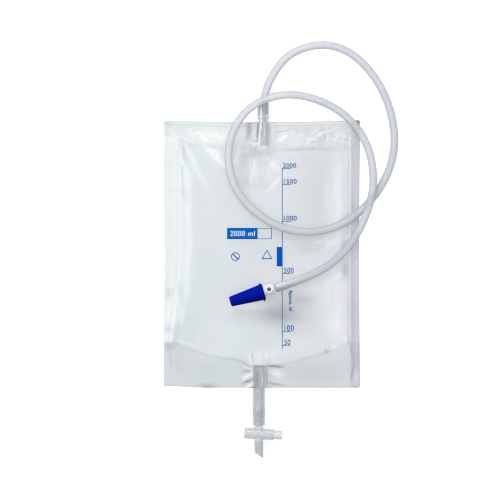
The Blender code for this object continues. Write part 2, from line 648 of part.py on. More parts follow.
def print_loop(name, centre, radius, corners, start, material):
    """An outlined regular figure, as a ring or a triangle."""
    bm = bmesh.new()
    narrow = radius - STROKE / math.cos(math.pi / corners)
    loops = []
    for r in (radius, narrow):
        angles = [start + math.tau * k / corners for k in range(corners)]
        spots = [(centre[0] + r * math.cos(a), centre[1] + r * math.sin(a)) for a in angles]
        loops.append([bm.verts.new((x, y, float(print_height(np.array(x), np.array(y))))) for x, y in spots])
    outer, inner = loops
    for k in range(corners):
        n = (k + 1) % corners
        bm.faces.new((outer[k], outer[n], inner[n], inner[k]))
    lifted = bmesh.ops.extrude_face_region(bm, geom=bm.faces)["geom"]
    verts = [v for v in lifted if isinstance(v, bmesh.types.BMVert)]
    bmesh.ops.translate(bm, verts=verts, vec=(0, 0, PRINT))
    add_object(name, bm, material)


film = plastic("film", (0.74, 0.77, 0.80), 0.25, alpha=0.5)
soft_pvc = plastic("soft_pvc", (0.66, 0.70, 0.76), 0.3, alpha=0.6)
rigid_clear = plastic("rigid_clear", (0.70, 0.74, 0.77), 0.3, alpha=0.7)
white = plastic("white_plastic", (0.85, 0.86, 0.87), 0.4)
blue = plastic("blue_plastic", (0.0, 0.01, 0.4), 0.35)
rubber = plastic("rubber", (0.08, 0.1, 0.08), 0.7)
silicone = plastic("silicone", (0.62, 0.65, 0.65), 0.5)
ink = plastic("ink", (0.0, 0.1, 0.65), 0.5)

back_film(film)
front_film(film)
check_valve(film)
inlet_port(rigid_clear)
inlet_tube(soft_pvc)
catheter_connector(white)
sampling_septum(rubber)
protective_cap(blue)
outlet_tube(soft_pvc)
tap_body(rigid_clear)
tap_plunger(white)
plunger_seals(silicone)
print_scale(ink)
print_panel(ink)
print_loop("print_ring", RING_CENTRE, RING_RADIUS, 24, 0.0, ink)
print_loop("print_triangle", TRIANGLE_CENTRE, TRIANGLE_RADIUS, 3, math.pi / 2, ink)
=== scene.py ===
"""Looks of an empty two litre urine drainage bag: welded film, soft tubes, connector, cap and tap.

X runs across the bag, Y towards the inlet and Z up. Shapes are worked out in millimetres, and
surface() turns them into metres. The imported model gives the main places.
"""

import math

import bmesh
import bpy
import numpy as np
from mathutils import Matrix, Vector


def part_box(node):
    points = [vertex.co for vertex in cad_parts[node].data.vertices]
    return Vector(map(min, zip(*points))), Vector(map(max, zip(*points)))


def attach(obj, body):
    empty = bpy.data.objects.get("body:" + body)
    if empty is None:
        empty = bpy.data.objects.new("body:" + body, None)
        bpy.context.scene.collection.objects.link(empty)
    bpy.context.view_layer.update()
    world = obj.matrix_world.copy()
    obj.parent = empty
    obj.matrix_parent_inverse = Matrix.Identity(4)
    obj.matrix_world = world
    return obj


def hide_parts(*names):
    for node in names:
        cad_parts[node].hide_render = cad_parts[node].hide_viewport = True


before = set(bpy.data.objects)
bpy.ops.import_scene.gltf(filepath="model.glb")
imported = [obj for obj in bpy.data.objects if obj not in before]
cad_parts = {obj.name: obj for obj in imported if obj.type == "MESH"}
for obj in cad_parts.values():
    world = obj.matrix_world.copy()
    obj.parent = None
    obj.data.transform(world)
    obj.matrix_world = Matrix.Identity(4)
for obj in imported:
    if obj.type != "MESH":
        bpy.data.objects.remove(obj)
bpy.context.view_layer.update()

# Camera and studio: seen from straight above through a long lens, on a white table under soft
# light. The table glows only where the camera sees it, so it is white and keeps the bag's shadow.
MM = 0.001
PICTURE_CENTRE = (-12.0, 4.2)
PICTURE_WIDTH = 512.5
CAMERA_HEIGHT = 2300.0
SENSOR_WIDTH = 36.0
TABLE_HALF = 9000.0
TABLE_DROP = 0.05
TABLE_COLOUR = (0.22, 0.22, 0.22, 1.0)
WHITE = (1.0, 1.0, 1.0, 1.0)
TABLE_GLOW = 0.84
ROOM_LIGHT = 0.66


def added(name, data):
    """An object of the scene for a camera, lamp, mesh or lettering."""
    made = bpy.data.objects.new(name, data)
    bpy.context.scene.collection.objects.link(made)
    return made


camera = added("camera", bpy.data.cameras.new("camera"))
camera.data.sensor_width = SENSOR_WIDTH
camera.data.lens = SENSOR_WIDTH * CAMERA_HEIGHT / PICTURE_WIDTH
camera.location = (PICTURE_CENTRE[0] * MM, PICTURE_CENTRE[1] * MM, CAMERA_HEIGHT * MM)
bpy.context.scene.camera = camera
bpy.context.scene.view_settings.view_transform = "Standard"
bpy.context.scene.cycles.transparent_max_bounces = 32
bpy.context.scene.cycles.filter_width = 1.0


class Value:
    """A value in a tree of shader nodes. Arithmetic on it adds the nodes that work it out."""

    def __init__(self, tree, socket=None):
        self.tree = tree
        self.socket = socket

    def node(self, kind, settings, inputs, output=0):
        """Any node: its type, its settings, then the values or links of its sockets."""
        made = self.tree.nodes.new("ShaderNode" + kind)
        for name, value in settings.items():
            setattr(made, name, value)
        for name, value in inputs.items():
            if isinstance(value, Value):
                self.tree.links.new(value.socket, made.inputs[name])
            else:
                made.inputs[name].default_value = value
        return Value(self.tree, made.outputs[output])

    def maths(self, operation, first, second=0.0):
        return self.node("Math", {"operation": operation}, {0: first, 1: second})

    def __add__(self, other):
        return self.maths("ADD", self, other)

    def __radd__(self, other):
        return self.maths("ADD", other, self)

    def __sub__(self, other):
        return self.maths("SUBTRACT", self, other)

    def __rsub__(self, other):
        return self.maths("SUBTRACT", other, self)

    def __mul__(self, other):
        return self.maths("MULTIPLY", self, other)

    def __rmul__(self, other):
        return self.maths("MULTIPLY", other, self)

    def mix(self, low, high):
        """The colour low where this value is 0, and high where it is 1."""
        return self.node("Mix", {"data_type": "RGBA"}, {0: self, 6: low, 7: high}, output=2)

    def clamped(self):
        """This value, kept between 0 and 1."""
        return self.node("Clamp", {}, {"Value": self})

    def into(self, name):
        """Feeds this value to a socket of the material's Principled shader."""
        self.tree.links.new(self.socket, self.tree.nodes["Principled BSDF"].inputs[name])

    def bump(self, strength, distance):
        """Feeds the shader's normal with bumps of this value's height."""
        heights = {"Strength": strength, "Distance": distance, "Height": self}
        self.node("Bump", {}, heights, output="Normal").into("Normal")

    def place(self):
        """The piece's own coordinates, in metres."""
        return self.node("TexCoord", {}, {}, output="Object")

    def coordinate(self, axis):
        """One of the piece's own coordinates, in metres."""
        return self.node("SeparateXYZ", {}, {"Vector": self.place()}, output=axis)

    def noise(self, scale, detail):
        """Soft noise from 0 to 1 on the piece's own coordinates."""
        return self.node("TexNoise", {}, {"Vector": self.place(), "Scale": scale, "Detail": detail})

    def stored(self, name):
        """A value that the piece keeps at its points."""
        return self.node("Attribute", {"attribute_name": name}, {}, output="Fac")

    def edge(self, blend):
        """0 where a surface faces the eye, rising to 1 where it turns away."""
        return self.node("LayerWeight", {}, {"Blend": blend}, output="Facing")


def new_material(name, constants):
    """A material whose Principled shader has these constants, and a start for its other nodes."""
    made = bpy.data.materials.new(name)
    made.use_nodes = True
    for socket, value in constants.items():
        made.node_tree.nodes["Principled BSDF"].inputs[socket].default_value = value
    return made, Value(made.node_tree)


def surface(name, points, material, around=False, looped=False, sharp=35.0):
    """A mesh of four-sided faces through a grid of points in millimetres.

    around joins the last column to the first, looped the last row to the first. When either is
    set, points that fall together, as at a pole, are then merged, and the faces are turned
    outwards. Edges that bend by more than sharp degrees are kept sharp.
    """
    rows, columns = points.shape[:2]
    index = np.arange(rows * columns).reshape(rows, columns)
    if around:
        index = np.hstack([index, index[:, :1]])
    if looped:
        index = np.vstack([index, index[:1]])
    corners = (index[:-1, :-1], index[:-1, 1:], index[1:, 1:], index[1:, :-1])
    faces = np.stack(corners, -1).reshape(-1, 4)
    mesh = bpy.data.meshes.new(name)
    mesh.from_pydata((points.reshape(-1, 3) * MM).tolist(), [], faces.tolist())
    if around or looped:
        bm = bmesh.new()
        bm.from_mesh(mesh)
        bmesh.ops.remove_doubles(bm, verts=bm.verts, dist=0.002 * MM)
        bmesh.ops.recalc_face_normals(bm, faces=bm.faces)
        bm.to_mesh(mesh)
        bm.free()
    mesh.shade_smooth()
    mesh.set_sharp_from_angle(angle=math.radians(sharp))
    mesh.materials.append(material)
    return added(name, mesh)


def soft_lamp(name, place, size, watts):
    """A square softbox that faces the bag."""
    lamp = added(name, bpy.data.lights.new(name, "AREA"))
    lamp.data.shape = "RECTANGLE"
    lamp.data.size, lamp.data.size_y = size
    lamp.data.energy = watts
    lamp.location = place
    lamp.rotation_euler = (-lamp.location).to_track_quat("-Z", "Y").to_euler()


soft_lamp("lamp_far_side", (-0.35, 1.7, 1.75), (1.4, 0.8), 19.0)
soft_lamp("lamp_right", (0.85, 0.20, 2.1), (0.35, 1.3), 3.5)
soft_lamp("lamp_left", (-1.3, 0.1, 1.9), (0.4, 1.2), 10.5)

def seen(start):
    """1 for what the camera sees, straight, in a gloss or through a clear piece, and 0 otherwise."""
    found = start.node("LightPath", {}, {}, output="Is Camera Ray")
    for ray in ("Is Glossy Ray", "Is Transmission Ray"):
        found = found.maths("MAXIMUM", found, start.node("LightPath", {}, {}, output=ray))
    return found


table_material, start = new_material("table", {
    "Base Color": TABLE_COLOUR, "Roughness": 1.0, "Specular IOR Level": 0.0, "Emission Color": WHITE,
})
(seen(start) * TABLE_GLOW).into("Emission Strength")
xs, ys = np.meshgrid([-TABLE_HALF, TABLE_HALF], [-TABLE_HALF, TABLE_HALF])
table = surface("table", np.stack([xs, ys, np.full_like(xs, -TABLE_DROP)], -1), table_material)

world = bpy.data.worlds.new("room")
world.use_nodes = True
bpy.context.scene.world = world
strength = seen(Value(world.node_tree)) * (1.0 - ROOM_LIGHT) + ROOM_LIGHT
room = world.node_tree.nodes["Background"]
room.inputs["Color"].default_value = WHITE
world.node_tree.links.new(strength.socket, room.inputs["Strength"])

# Back film: one sheet of soft clear PVC, cut with rounded corners and welded to the front one.
# It lies flat on the table, and near the inlet and the outlet it comes up to meet the front film.


def span(node):
    """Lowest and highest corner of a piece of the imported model, in millimetres."""
    return [np.array(corner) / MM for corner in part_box(node)]


def fit(piece, body, slot, *nodes):
    """A finished piece moves with a body and stands for nodes, which are hidden. slot is not used."""
    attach(piece, body)
    if nodes:
        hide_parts(*nodes)


def ease(distance, length):
    """A quarter sine: 0 at distance 0, and flat at 1 from length on."""
    return np.sin(np.pi / 2 * np.clip(distance / length, 0, 1))


def smooth(value):
    """An S curve: 0 up to value 0, and 1 from value 1 on."""
    value = np.clip(value, 0, 1)
    return value * value * (3 - 2 * value)


FILM = 0.3
WELDED = 0.32  # underside of the front film where the two are one
BAG_LOW, BAG_HIGH = span("front_film")
PORT_LOW, PORT_HIGH = span("inlet_port")
OUTLET_LOW, OUTLET_HIGH = span("outlet_tube")
INLET_X = (PORT_LOW[0] + PORT_HIGH[0]) / 2
PORT_Z = (PORT_LOW[2] + PORT_HIGH[2]) / 2
STUB_END = PORT_LOW[1]
OUTLET_X = (OUTLET_LOW[0] + OUTLET_HIGH[0]) / 2
OUTLET_Z = (OUTLET_LOW[2] + OUTLET_HIGH[2]) / 2
OUTLET_TOP = OUTLET_HIGH[1]
LEFT_WELD_TOP, LEFT_WELD_BOTTOM = 14.7, 7.2
CHAMBER_RIGHT = BAG_HIGH[0] - 12.4
CHAMBER_TOP = BAG_HIGH[1] - 27.0
SKIRT_AT_SIDES, SKIRT_AT_OUTLET = 46.0, 22.5
DRAIN_CURVE = 1.6
LEFT_LEDGE = 4.5  # how far the left half of the lower weld stays above the outlet
CHAMBER_RISE = 3.4
SHOULDER = 25.0
OPEN_GROUND = 0.6  # underside of the front film where it is free of the back one
TENT_HALF_WIDTH = 14.0
TENT_FADE = 24.0
STUB_TENT = 5.6
OUTLET_TENT = 6.5
SHEET_CORNER = 1.2


def weld_left(y):
    """The left weld's inner edge swings outwards, in an S, towards the foot of the bag."""
    return BAG_LOW[0] + LEFT_WELD_TOP + (LEFT_WELD_BOTTOM - LEFT_WELD_TOP) * smooth((10 - y) / 115)


def weld_foot(x):
    """The lower weld falls from both sides to the outlet, as a power of the distance from it."""
    reach = np.where(x < OUTLET_X, OUTLET_X - weld_left(BAG_LOW[1]), CHAMBER_RIGHT - OUTLET_X)
    share = np.clip(np.abs(x - OUTLET_X) / reach, 0, 1) ** DRAIN_CURVE
    lowest = SKIRT_AT_OUTLET + LEFT_LEDGE * smooth((OUTLET_X - 5 - x) / 15)
    return BAG_LOW[1] + lowest + (SKIRT_AT_SIDES - lowest) * share


def tent(across, axis_z, radius, ground):
    """Film drawn over a cylinder: it follows the crown, then leaves it along a tangent."""
    rise = axis_z - ground
    lean = np.arcsin(radius / np.hypot(TENT_HALF_WIDTH, rise)) + np.arctan2(rise, TENT_HALF_WIDTH)
    across = np.abs(across)
    crown = axis_z + np.sqrt(np.maximum(radius**2 - across**2, 0))
    slope = axis_z + (radius - np.sin(lean) * across) / np.cos(lean)
    return np.where(across < radius * np.sin(lean), crown, slope)


def inside_chamber(x, y):
    """0 at the welds and 1 in the flat middle: a quarter sine in from each of the four sides."""
    across = ease(x - weld_left(y), SHOULDER) * ease(CHAMBER_RIGHT - x, SHOULDER)
    return across * ease(CHAMBER_TOP - y, SHOULDER) * ease(y - weld_foot(x), SHOULDER)


def front_rest(x, y):
    """Underside of the front film before its creases: flat welds, a shallow cushion, two tents."""
    cushion = inside_chamber(x, y)
    ground = WELDED + (OPEN_GROUND - WELDED) * smooth(2.5 * cushion)
    over_stub = tent(x - INLET_X, PORT_Z, STUB_TENT, ground) - ground
    over_stub = over_stub * ease(y - (STUB_END - TENT_FADE), TENT_FADE)
    over_tube = tent(x - OUTLET_X, OUTLET_Z, OUTLET_TENT, ground) - ground
    over_tube = over_tube * ease(OUTLET_TOP + TENT_FADE - y, TENT_FADE)
    return ground + np.maximum(CHAMBER_RISE * cushion, np.maximum(over_stub, over_tube))


def outline(x, y):
    """The cut edge isn't quite straight: the top bows in, and the sides and foot wander a little."""
    half = BAG_HIGH[0]
    up = smooth(y / BAG_HIGH[1]) * (-1.1 + 2.0 * np.abs(x / half) ** 1.6 + 0.3 * x / half)
    down = smooth(-y / BAG_HIGH[1]) * (-0.8 + 1.9 * smooth((-x - 55) / 45))
    side = 0.5 * np.cos(y / 42.0) * np.sign(x) * np.abs(x / half) ** 3
    return x - side * 0.9, y + up + down


def rounded_corners(x, y, radius):
    """Draws the square corners of a sheet in to quarter circles."""
    dx = np.maximum(np.abs(x) - (BAG_HIGH[0] - radius), 0)
    dy = np.maximum(np.abs(y) - (BAG_HIGH[1] - radius), 0)
    share = np.maximum(dx, dy) / np.maximum(np.hypot(dx, dy), 0.0001)
    both = (dx > 0) & (dy > 0)
    share = np.where(both, share, 1.0)
    return x - np.sign(x) * dx * (1 - share), y - np.sign(y) * dy * (1 - share)


def shares(before, inside, after, crowds, how_much):
    """Shares from 0 to 3, with this many cells before the chamber, inside it and after it.

    They are even outside it. Inside, from 1 to 2, a sine draws them closer together at both ends,
    and where crowds is 2 in the middle too.
    """
    even = np.linspace(0, 1, inside + 1)[:-1]
    crowded = even - how_much * np.sin(2 * np.pi * crowds * even) / (2 * np.pi * crowds)
    return np.concatenate([np.arange(before) / before, 1 + crowded, 2 + np.arange(after + 1) / after])


def between(share, low, inner, outer, high):
    """Straight from low at share 0 to inner at 1, on to outer at 2 and to high at 3."""
    places = inner + (outer - inner) * (share - 1)
    places = np.where(share < 1, low + (inner - low) * share, places)
    return np.where(share > 2, outer + (high - outer) * (share - 2), places)


def film_grid(left, middle, right, foot, body, head):
    """Columns and rows of a film that follow its welds, with this many cells in each part."""
    across = shares(left, middle, right, 2, 0.45)[None, :]
    along = shares(foot, body, head, 1, 0.55)[:, None]
    heights = (BAG_LOW[1], BAG_LOW[1] + SKIRT_AT_OUTLET, CHAMBER_TOP, BAG_HIGH[1])
    inner_left = weld_left(np.interp(along, (0, 1, 2, 3), heights))
    xs = between(across, BAG_LOW[0], inner_left, CHAMBER_RIGHT, BAG_HIGH[0])
    ys = between(along, BAG_LOW[1], weld_foot(xs), CHAMBER_TOP, BAG_HIGH[1])
    return rounded_corners(xs, ys, SHEET_CORNER)


def film_wall(sheet, thickness):
    """Gives a film its thickness, on the side that its faces look to."""
    solid = sheet.modifiers.new("wall", "SOLIDIFY")
    solid.thickness = thickness * MM
    solid.offset = 1.0


def back_rest(x, y):
    """Height of the back film: 0, but drawn up to the front one beside the stub and the tube."""
    by_stub = smooth((np.abs(x - INLET_X) - 4.8) / 2.0) * smooth((y - 118.0) / 7.0)
    by_tube = smooth((np.abs(x - OUTLET_X) - 6.2) / 2.0) * smooth((-115.0 - y) / 6.0)
    return np.maximum(by_stub, by_tube) * np.maximum(front_rest(x, y) - WELDED, 0)


# Painted light and shade on the film. The patches include the cap's painted shadow and painted light that
# takes out the cap's real shadow. The streaks are painted highlights and shade along creases, folds, the
# stub and the outlet tube.
PATCHES = (  # painted patches: middle x, y, half widths across and along, then how light or dark
    (17, -61, 20, 10, -0.5), (40, -46, 15, 7, -0.3), (60, 70, 24, 60, -0.12), (-45, 122, 45, 9, 0.5),
    (91, 20, 4, 70, 0.05), (-70, 10, 25, 50, -0.05), (-5, -88, 50, 10, -0.06), (30, -62, 34, 20, -0.2),
    (-14, -52, 18, 5, 0.5), (97.6, 134, 3, 3.5, -0.8), (-10.3, -122, 1.6, 10, 0.2),
    (86, -17, 4, 8, -0.5), (84, 9, 4, 5, -0.25), (50, 8, 22, 9, -0.16), (32, 18, 24, 4, -0.08),
    (-14, 124, 7, 9, -0.3), (-19, 100, 7, 18, -0.3), (-2, 104, 12, 5, -0.2), (-12, 106, 9, 7, -0.15),
    (-14, 74, 11, 8, -0.18), (-8, 86, 4, 13, 0.3), (9, 92, 9, 9, 0.2), (14, 75, 8, 5, 0.12),
    (-28, 103, 4, 18, 0.15), (-27, -83, 30, 12, 0.12), (28, -92, 22, 8, 0.14), (8, -104, 14, 7, 0.2),
    (-40, -98, 20, 6, 0.1), (-56, -134, 8, 2.5, -0.4), (-97, 133, 5, 2, -0.3), (-96, -40, 4, 5, -0.4),
    (-96, -77, 4, 4, -0.5), (-95, -95, 5, 4, -0.35), (-96, -60, 4, 10, 0.15), (78, 55, 4.5, 45, 0.22),
    (79, -45, 4.5, 20, 0.15), (76, -72, 8, 14, 0.3), (66, -60, 12, 25, 0.06), (27, 119, 20, 7, 0.1),
    (-46, 118, 30, 8, 0.05), (-45, 95, 10, 8, 0.12), (-60, -118, 26, 10, -0.06),
    (50, -122, 38, 12, -0.12), (-86, -112, 6, 14, -0.12), (14, -124, 9, 6, 0.1), (97, 128, 3, 8, -0.3),
    (55, 60, 26, 40, -0.05), (97, -126, 4, 9, 0.3), (92, -55, 4, 45, -0.2), (-3, 10, 30, 30, -0.07),
    (-20, -70, 60, 30, -0.05), (-76, -70, 8, 22, -0.1), (60, 108, 30, 3, -0.1),
)
STROKES = (  # painted streaks: from x, y to x, y, half width, then how light or dark
    (-92, 126, -74, 80, 1.9, 0.25), (-81.5, 113, -77.5, 102, 1.1, -0.4), (-80, 114, -67, 92, 1.7, 0.45),
    (-80, 112, -50, 58, 3.0, 0.3), (-62, 114, -34, 88, 2.8, 0.7), (-66, 127, -54, 113, 1.5, 0.6),
    (-51, 128, -40, 118, 1.1, 0.6), (-82, 111, -37, 111, 0.6, -0.25), (-84.5, 98, -80, 73, 1.2, -0.3),
    (-84.3, 72, -78, 52, 1.4, -0.3), (-99, 66.7, -84, 65.7, 0.5, -0.35), (-86, 60, -83, 20, 1.4, -0.2),
    (-12.5, 139, -15, 114, 2.6, -0.6), (-17, 134.8, -2.5, 134.8, 0.6, -0.5),
    (-3.2, 143, -5.2, 108, 0.8, -1.5), (-0.4, 145, -3.0, 107, 0.9, 2.6),
    (-2.5, 122, -3.1, 108, 0.8, 1.2), (-10, 112.4, -1.5, 114.4, 0.8, 1.8),
    (0.9, 143, -0.6, 108, 0.8, -1.3), (2.5, 143, 2.4, 107, 0.9, 1.3), (7.0, 143, 6.6, 108, 1.4, -0.7),
    (11.8, 136, 11.5, 118, 1.6, 0.4), (-18, 135, -17, 119, 1.8, 0.4),
    (-12.3, 136, -12.3, 116, 1.8, -0.3), (0.4, -112, 0.4, -141, 0.8, 1.9),
    (-5, -112, -5, -141, 2.4, -0.6), (4.6, -111, 4.8, -139, 1.1, -0.6),
    (-9.4, -113.6, 3.0, -113.6, 0.7, -1.1), (12, 125, 26, 127.5, 0.9, -0.5),
    (30, 127, 43, 128.4, 0.9, -0.35), (56, 128, 62, 130.5, 0.6, -0.4), (11, 113.5, 31, 125.5, 2.2, 0.5),
    (42, 112, 55, 121, 1.8, 0.35), (52, 119, 65, 126, 1.3, 0.3), (54, 114.5, 61, 117.5, 0.7, -0.45),
    (65.2, 123, 65.2, 115, 0.5, -0.5), (67, 124, 67, 114, 0.8, 0.35), (40, 117, 47, 128, 0.8, -0.2),
    (73, 116, 85, 126, 1.2, 0.35), (10, 107.6, 74, 107.2, 1.3, -0.3), (22, 122, 22, 129, 0.5, 0.3),
    (36, 121, 34, 129, 0.6, 0.3), (78, 124, 84, 119, 0.7, -0.3), (0, 103, 24, 82, 2.0, 0.35),
    (24, 84, 2, 60, 1.6, 0.3), (-6, 103, -12, 66, 1.4, 0.3), (18, 100, 22, 80, 2.4, -0.15),
    (-22, 112, -28, 90, 1.6, 0.3), (-17, 136, -25, 116, 1.6, 0.4), (-23, -109, -10, -116.5, 1.0, -0.4),
    (-21, -112, -9, -119, 0.9, 0.5), (-22, -119.5, -9, -118, 1.1, -0.5),
    (-21, -128, -6.5, -119.5, 1.5, 1.0), (-21, -132.5, -6.5, -126, 1.0, -1.0),
    (-19, -138, -6.5, -129, 1.2, 1.2), (-13, -136.5, -5, -135, 0.8, -1.0),
    (3, -113.2, 25, -115.4, 1.0, -1.1), (5, -118.5, 24, -124, 2.6, 0.3),
    (3, -130.5, 26, -134.5, 1.0, -0.6), (-11, -98, -8, -113, 1.0, -0.35),
    (-14, -100, -11, -112, 1.2, 0.3), (3, -98, 6, -112, 1.4, 0.35), (64, -94, 68, -103, 1.2, -0.45),
    (70, -91, 77, -97, 1.3, 0.4), (82, -82, 88, -90, 1.2, 0.3), (89, -84, 94.5, -112, 0.8, -0.4),
    (94.5, -110, 90, -134, 0.8, -0.5), (-64, -135.4, -44, -135.6, 0.8, -0.5),
    (-92, -88, -60, -95, 1.1, 0.2), (-95, -96, -92, -122, 1.1, -0.25),
    (-37, -104, -18, -110, 1.4, -0.15), (44, 8, 74, 17, 1.3, 0.3), (60, 3, 82, 18, 2.0, 0.25),
    (88, 45, 88, 22, 1.2, -0.3), (92, 66, 96, 30, 1.5, -0.2), (74, -28, 83, -18, 1.8, 0.25),
    (-85, -22, -79, -60, 2.4, -0.25),
)


def line(distance, width):
    """A bell across a line, by the distance from it."""
    return np.exp(-((distance / width) ** 2))


def stroke(x, y, x0, y0, x1, y1, width):
    """A streak between two points: a bell across it, and half a sine along it."""
    run = math.hypot(x1 - x0, y1 - y0)
    along = ((x - x0) * (x1 - x0) + (y - y0) * (y1 - y0)) / run**2
    across = ((x - x0) * (y1 - y0) - (y - y0) * (x1 - x0)) / run
    return np.sin(np.pi * np.clip(along, 0, 1)) * line(across, width)


def crumpled(x, y):
    """-1 to 1: the fine crumples of the band above the chamber, as waves that bend each other."""
    waves = np.sin(x / 1.9 + 2.2 * np.sin(y / 3.7)) * np.sin(y / 1.7 + 1.9 * np.sin(x / 5.3))
    return waves * smooth((y - CHAMBER_TOP) / 5) * smooth((BAG_HIGH[1] - 3.5 - y) / 3)


def film_tone(x, y):
    """How light (+) or dark (-) the film is painted, as painted shade, shadow and highlight: patches,
    streaks, margins, weld lines and rims.
    """
    # Painted light and shade on the fine crumples above the chamber.
    tone = (0.13 + 0.05 * smooth(x / 40)) * crumpled(x, y)
    for middle_x, middle_y, half_x, half_y, amount in PATCHES:
        tone += amount * line((x - middle_x) / half_x, 1) * line((y - middle_y) / half_y, 1)
    for x0, y0, x1, y1, width, amount in STROKES:
        tone += amount * stroke(x, y, x0, y0, x1, y1, width)
    # Painted light and shade at the edges: a lighter left margin and shoulder, a darker right margin with
    # light and dark lines along its weld, shade along the foot, and light and dark lines at the rims.
    below, left, right = weld_foot(x) - y, weld_left(y) - x, x - CHAMBER_RIGHT
    above_foot = smooth(1 - below / 3)
    beside = above_foot * smooth((CHAMBER_TOP - y) / 12)
    tone += 0.3 * smooth(left / 1.5) * above_foot * smooth((126 - y) / 12)
    tone += beside * (0.25 * line(left, 1.0) + 0.1 * line(left - 5, 1.5) - 0.16 * line(left + 5, 3.0))
    tone += 0.2 * beside * line(left, 1.1) * smooth((-20 - y) / 30)
    tone -= 0.31 * smooth((right - 2.6) / 2.4)
    margin = 0.2 * line(right - 2.2, 0.8) - 0.15 * line(right - 2, 4)
    tone += above_foot * smooth((130 - y) / 8) * margin
    weld = 0.25 * line(right + 0.6, 0.7) - 0.4 * line(right - 0.9, 0.8) + 0.15 * line(right - 3, 1)
    tone += beside * weld
    tone -= 0.2 * line(below - 1.0, 1.1) + 0.14 * smooth(below / 3)
    rim = np.minimum(BAG_HIGH[0] - np.abs(x), BAG_HIGH[1] - np.abs(y))
    rims = smooth((y - CHAMBER_TOP) / 6) * (0.12 * line(rim - 2, 1.2) - 0.2 * line(rim - 3.6, 0.5))
    rims = rims - 0.25 * smooth((x + 99) / 2) * line(rim, 0.7)
    return np.clip(tone + rims, -1, 1.7)


def store(piece, name, values):
    """Keeps a value at each point of a piece, for its material."""
    kept = piece.data.attributes.new(name, "FLOAT", "POINT")
    kept.data.foreach_set("value", values.ravel().astype(np.float32))


film_material, start = new_material("film", {
    "Specular IOR Level": 0.75, "IOR": 1.5, "Coat Weight": 0.6, "Coat Roughness": 0.12,
})
mottle = start.noise(14.0, 2.0)
fine = start.noise(260.0, 3.0)
# The stored tone is painted light and shade: a light tone makes the film whiter and clearer, a dark one
# darker and denser. Random mottle is added to it.
tone = start.stored("tone") + (mottle - 0.5) * 0.2
tint = (mottle - 0.5) * 2.5 + 0.45 + start.coordinate("X") * 4.0
plain = tint.mix((0.65, 0.755, 0.775, 1.0), (0.69, 0.715, 0.79, 1.0))
lighter = tone.mix(plain, (0.97, 0.99, 1.0, 1.0))
(tone * -1.0).mix(lighter, (0.13, 0.16, 0.22, 1.0)).into("Base Color")
# Painted highlight: where the tone is brightest, the film turns opaque white.
painted_gleam = ((tone - 1.05) * 2.0).clamped()
(0.21 - tone * 0.14 + painted_gleam * 0.75).into("Alpha")
(0.17 + fine * 0.12).into("Roughness")
(fine * 0.4 + mottle * 3.0).bump(0.5, 0.00025)


def film_sheet(name, cells, height):
    """A film on a grid of so many cells: its height and tone, and then the outline it is cut to."""
    xs, ys = film_grid(*cells)
    cut_x, cut_y = outline(xs, ys)
    made = surface(name, np.stack([cut_x, cut_y, height(xs, ys)], -1), film_material)
    store(made, "tone", film_tone(xs, ys))
    film_wall(made, FILM)
    return made


back_film = film_sheet("back_film_sheet", (8, 60, 6, 20, 70, 22), back_rest)
fit(back_film, "bag", "film", "back_film")

# Non-return valve: two flaps of thinner film that are welded in with the stub and hang below it.
# The back one lies on the back film, and the front one arches over the stub's end in pleats.
VALVE_LOW, VALVE_HIGH = span("check_valve_front")
FLAP, FLAP_GAP = 0.25, 0.3
FLAP_FADE = 16.0
FLAP_TENT, FLAP_SPREAD = 5.05, 0.92


def flap_points(arched):
    """A flap on a grid: flat, or drawn over the stub like a tent and then waved across."""
    columns = np.linspace(VALVE_LOW[0], VALVE_HIGH[0], 61)
    xs, ys = np.meshgrid(columns, np.linspace(VALVE_LOW[1], VALVE_HIGH[1], 71))
    if not arched:
        return np.stack([xs, ys, np.full_like(xs, OPEN_GROUND)], -1)
    rest_z = OPEN_GROUND + FLAP + FLAP_GAP
    across = np.abs(xs - INLET_X) * TENT_HALF_WIDTH / (VALVE_HIGH[0] - INLET_X) * FLAP_SPREAD
    over = np.maximum(tent(across, PORT_Z, FLAP_TENT, rest_z) - rest_z, 0)
    over = over * ease(ys - (STUB_END - FLAP_FADE), FLAP_FADE)
    free = smooth((STUB_END - 4 - ys) / 14)
    wave = 0.35 * np.sin(xs * 0.95 + 0.02 * ys) + 0.2 * np.sin(xs * 1.9 - 1.0 + 0.05 * ys)
    return np.stack([xs, ys, rest_z + over + free * (0.55 + wave)], -1)


valve_material, start = new_material("valve_film", {"Specular IOR Level": 0.5})
streaks = start.node("Mapping", {}, {"Vector": start.place(), "Scale": (1.0, 0.08, 1.0)})
streaks = start.node("TexNoise", {}, {"Vector": streaks, "Scale": 420.0, "Detail": 2.0})
streaks.mix((0.62, 0.66, 0.70, 1.0), (0.88, 0.91, 0.93, 1.0)).into("Base Color")
(0.01 + streaks * 0.03).into("Alpha")
(0.2 + streaks * 0.15).into("Roughness")
streaks.bump(0.4, 0.0003)
for name, arched in (("check_valve_back", False), ("check_valve_front", True)):
    flap = surface(name + "_flap", flap_points(arched), valve_material)
    film_wall(flap, FLAP)
    fit(flap, "bag", "valve_film", name)

# Inlet port: one soft moulding. Its ribbed stub is welded between the films, and the inlet tube
# is bonded into the wider socket above the bag's edge.
SOCKET_SHIFT = 0.45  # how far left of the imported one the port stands, and its socket is larger
SOCKET_WALL_RADIUS = (PORT_HIGH[2] - PORT_LOW[2]) / 2 + SOCKET_SHIFT
SOCKET_FOOT = BAG_HIGH[1] + 2.0
SOCKET_MOUTH = PORT_HIGH[1]
STUB_RADIUS, LUMEN_RADIUS, SOCKET_BORE, SOCKET_DEPTH = 4.6, 2.75, 4.4, 12.0
STUB_RIBS = (116.0, 120.5, 125.0, 129.5)
RIB_FOOT, RIB_CREST, RIB_HEIGHT = 0.9, 0.4, 0.35
SOCKET_LIP = 0.1


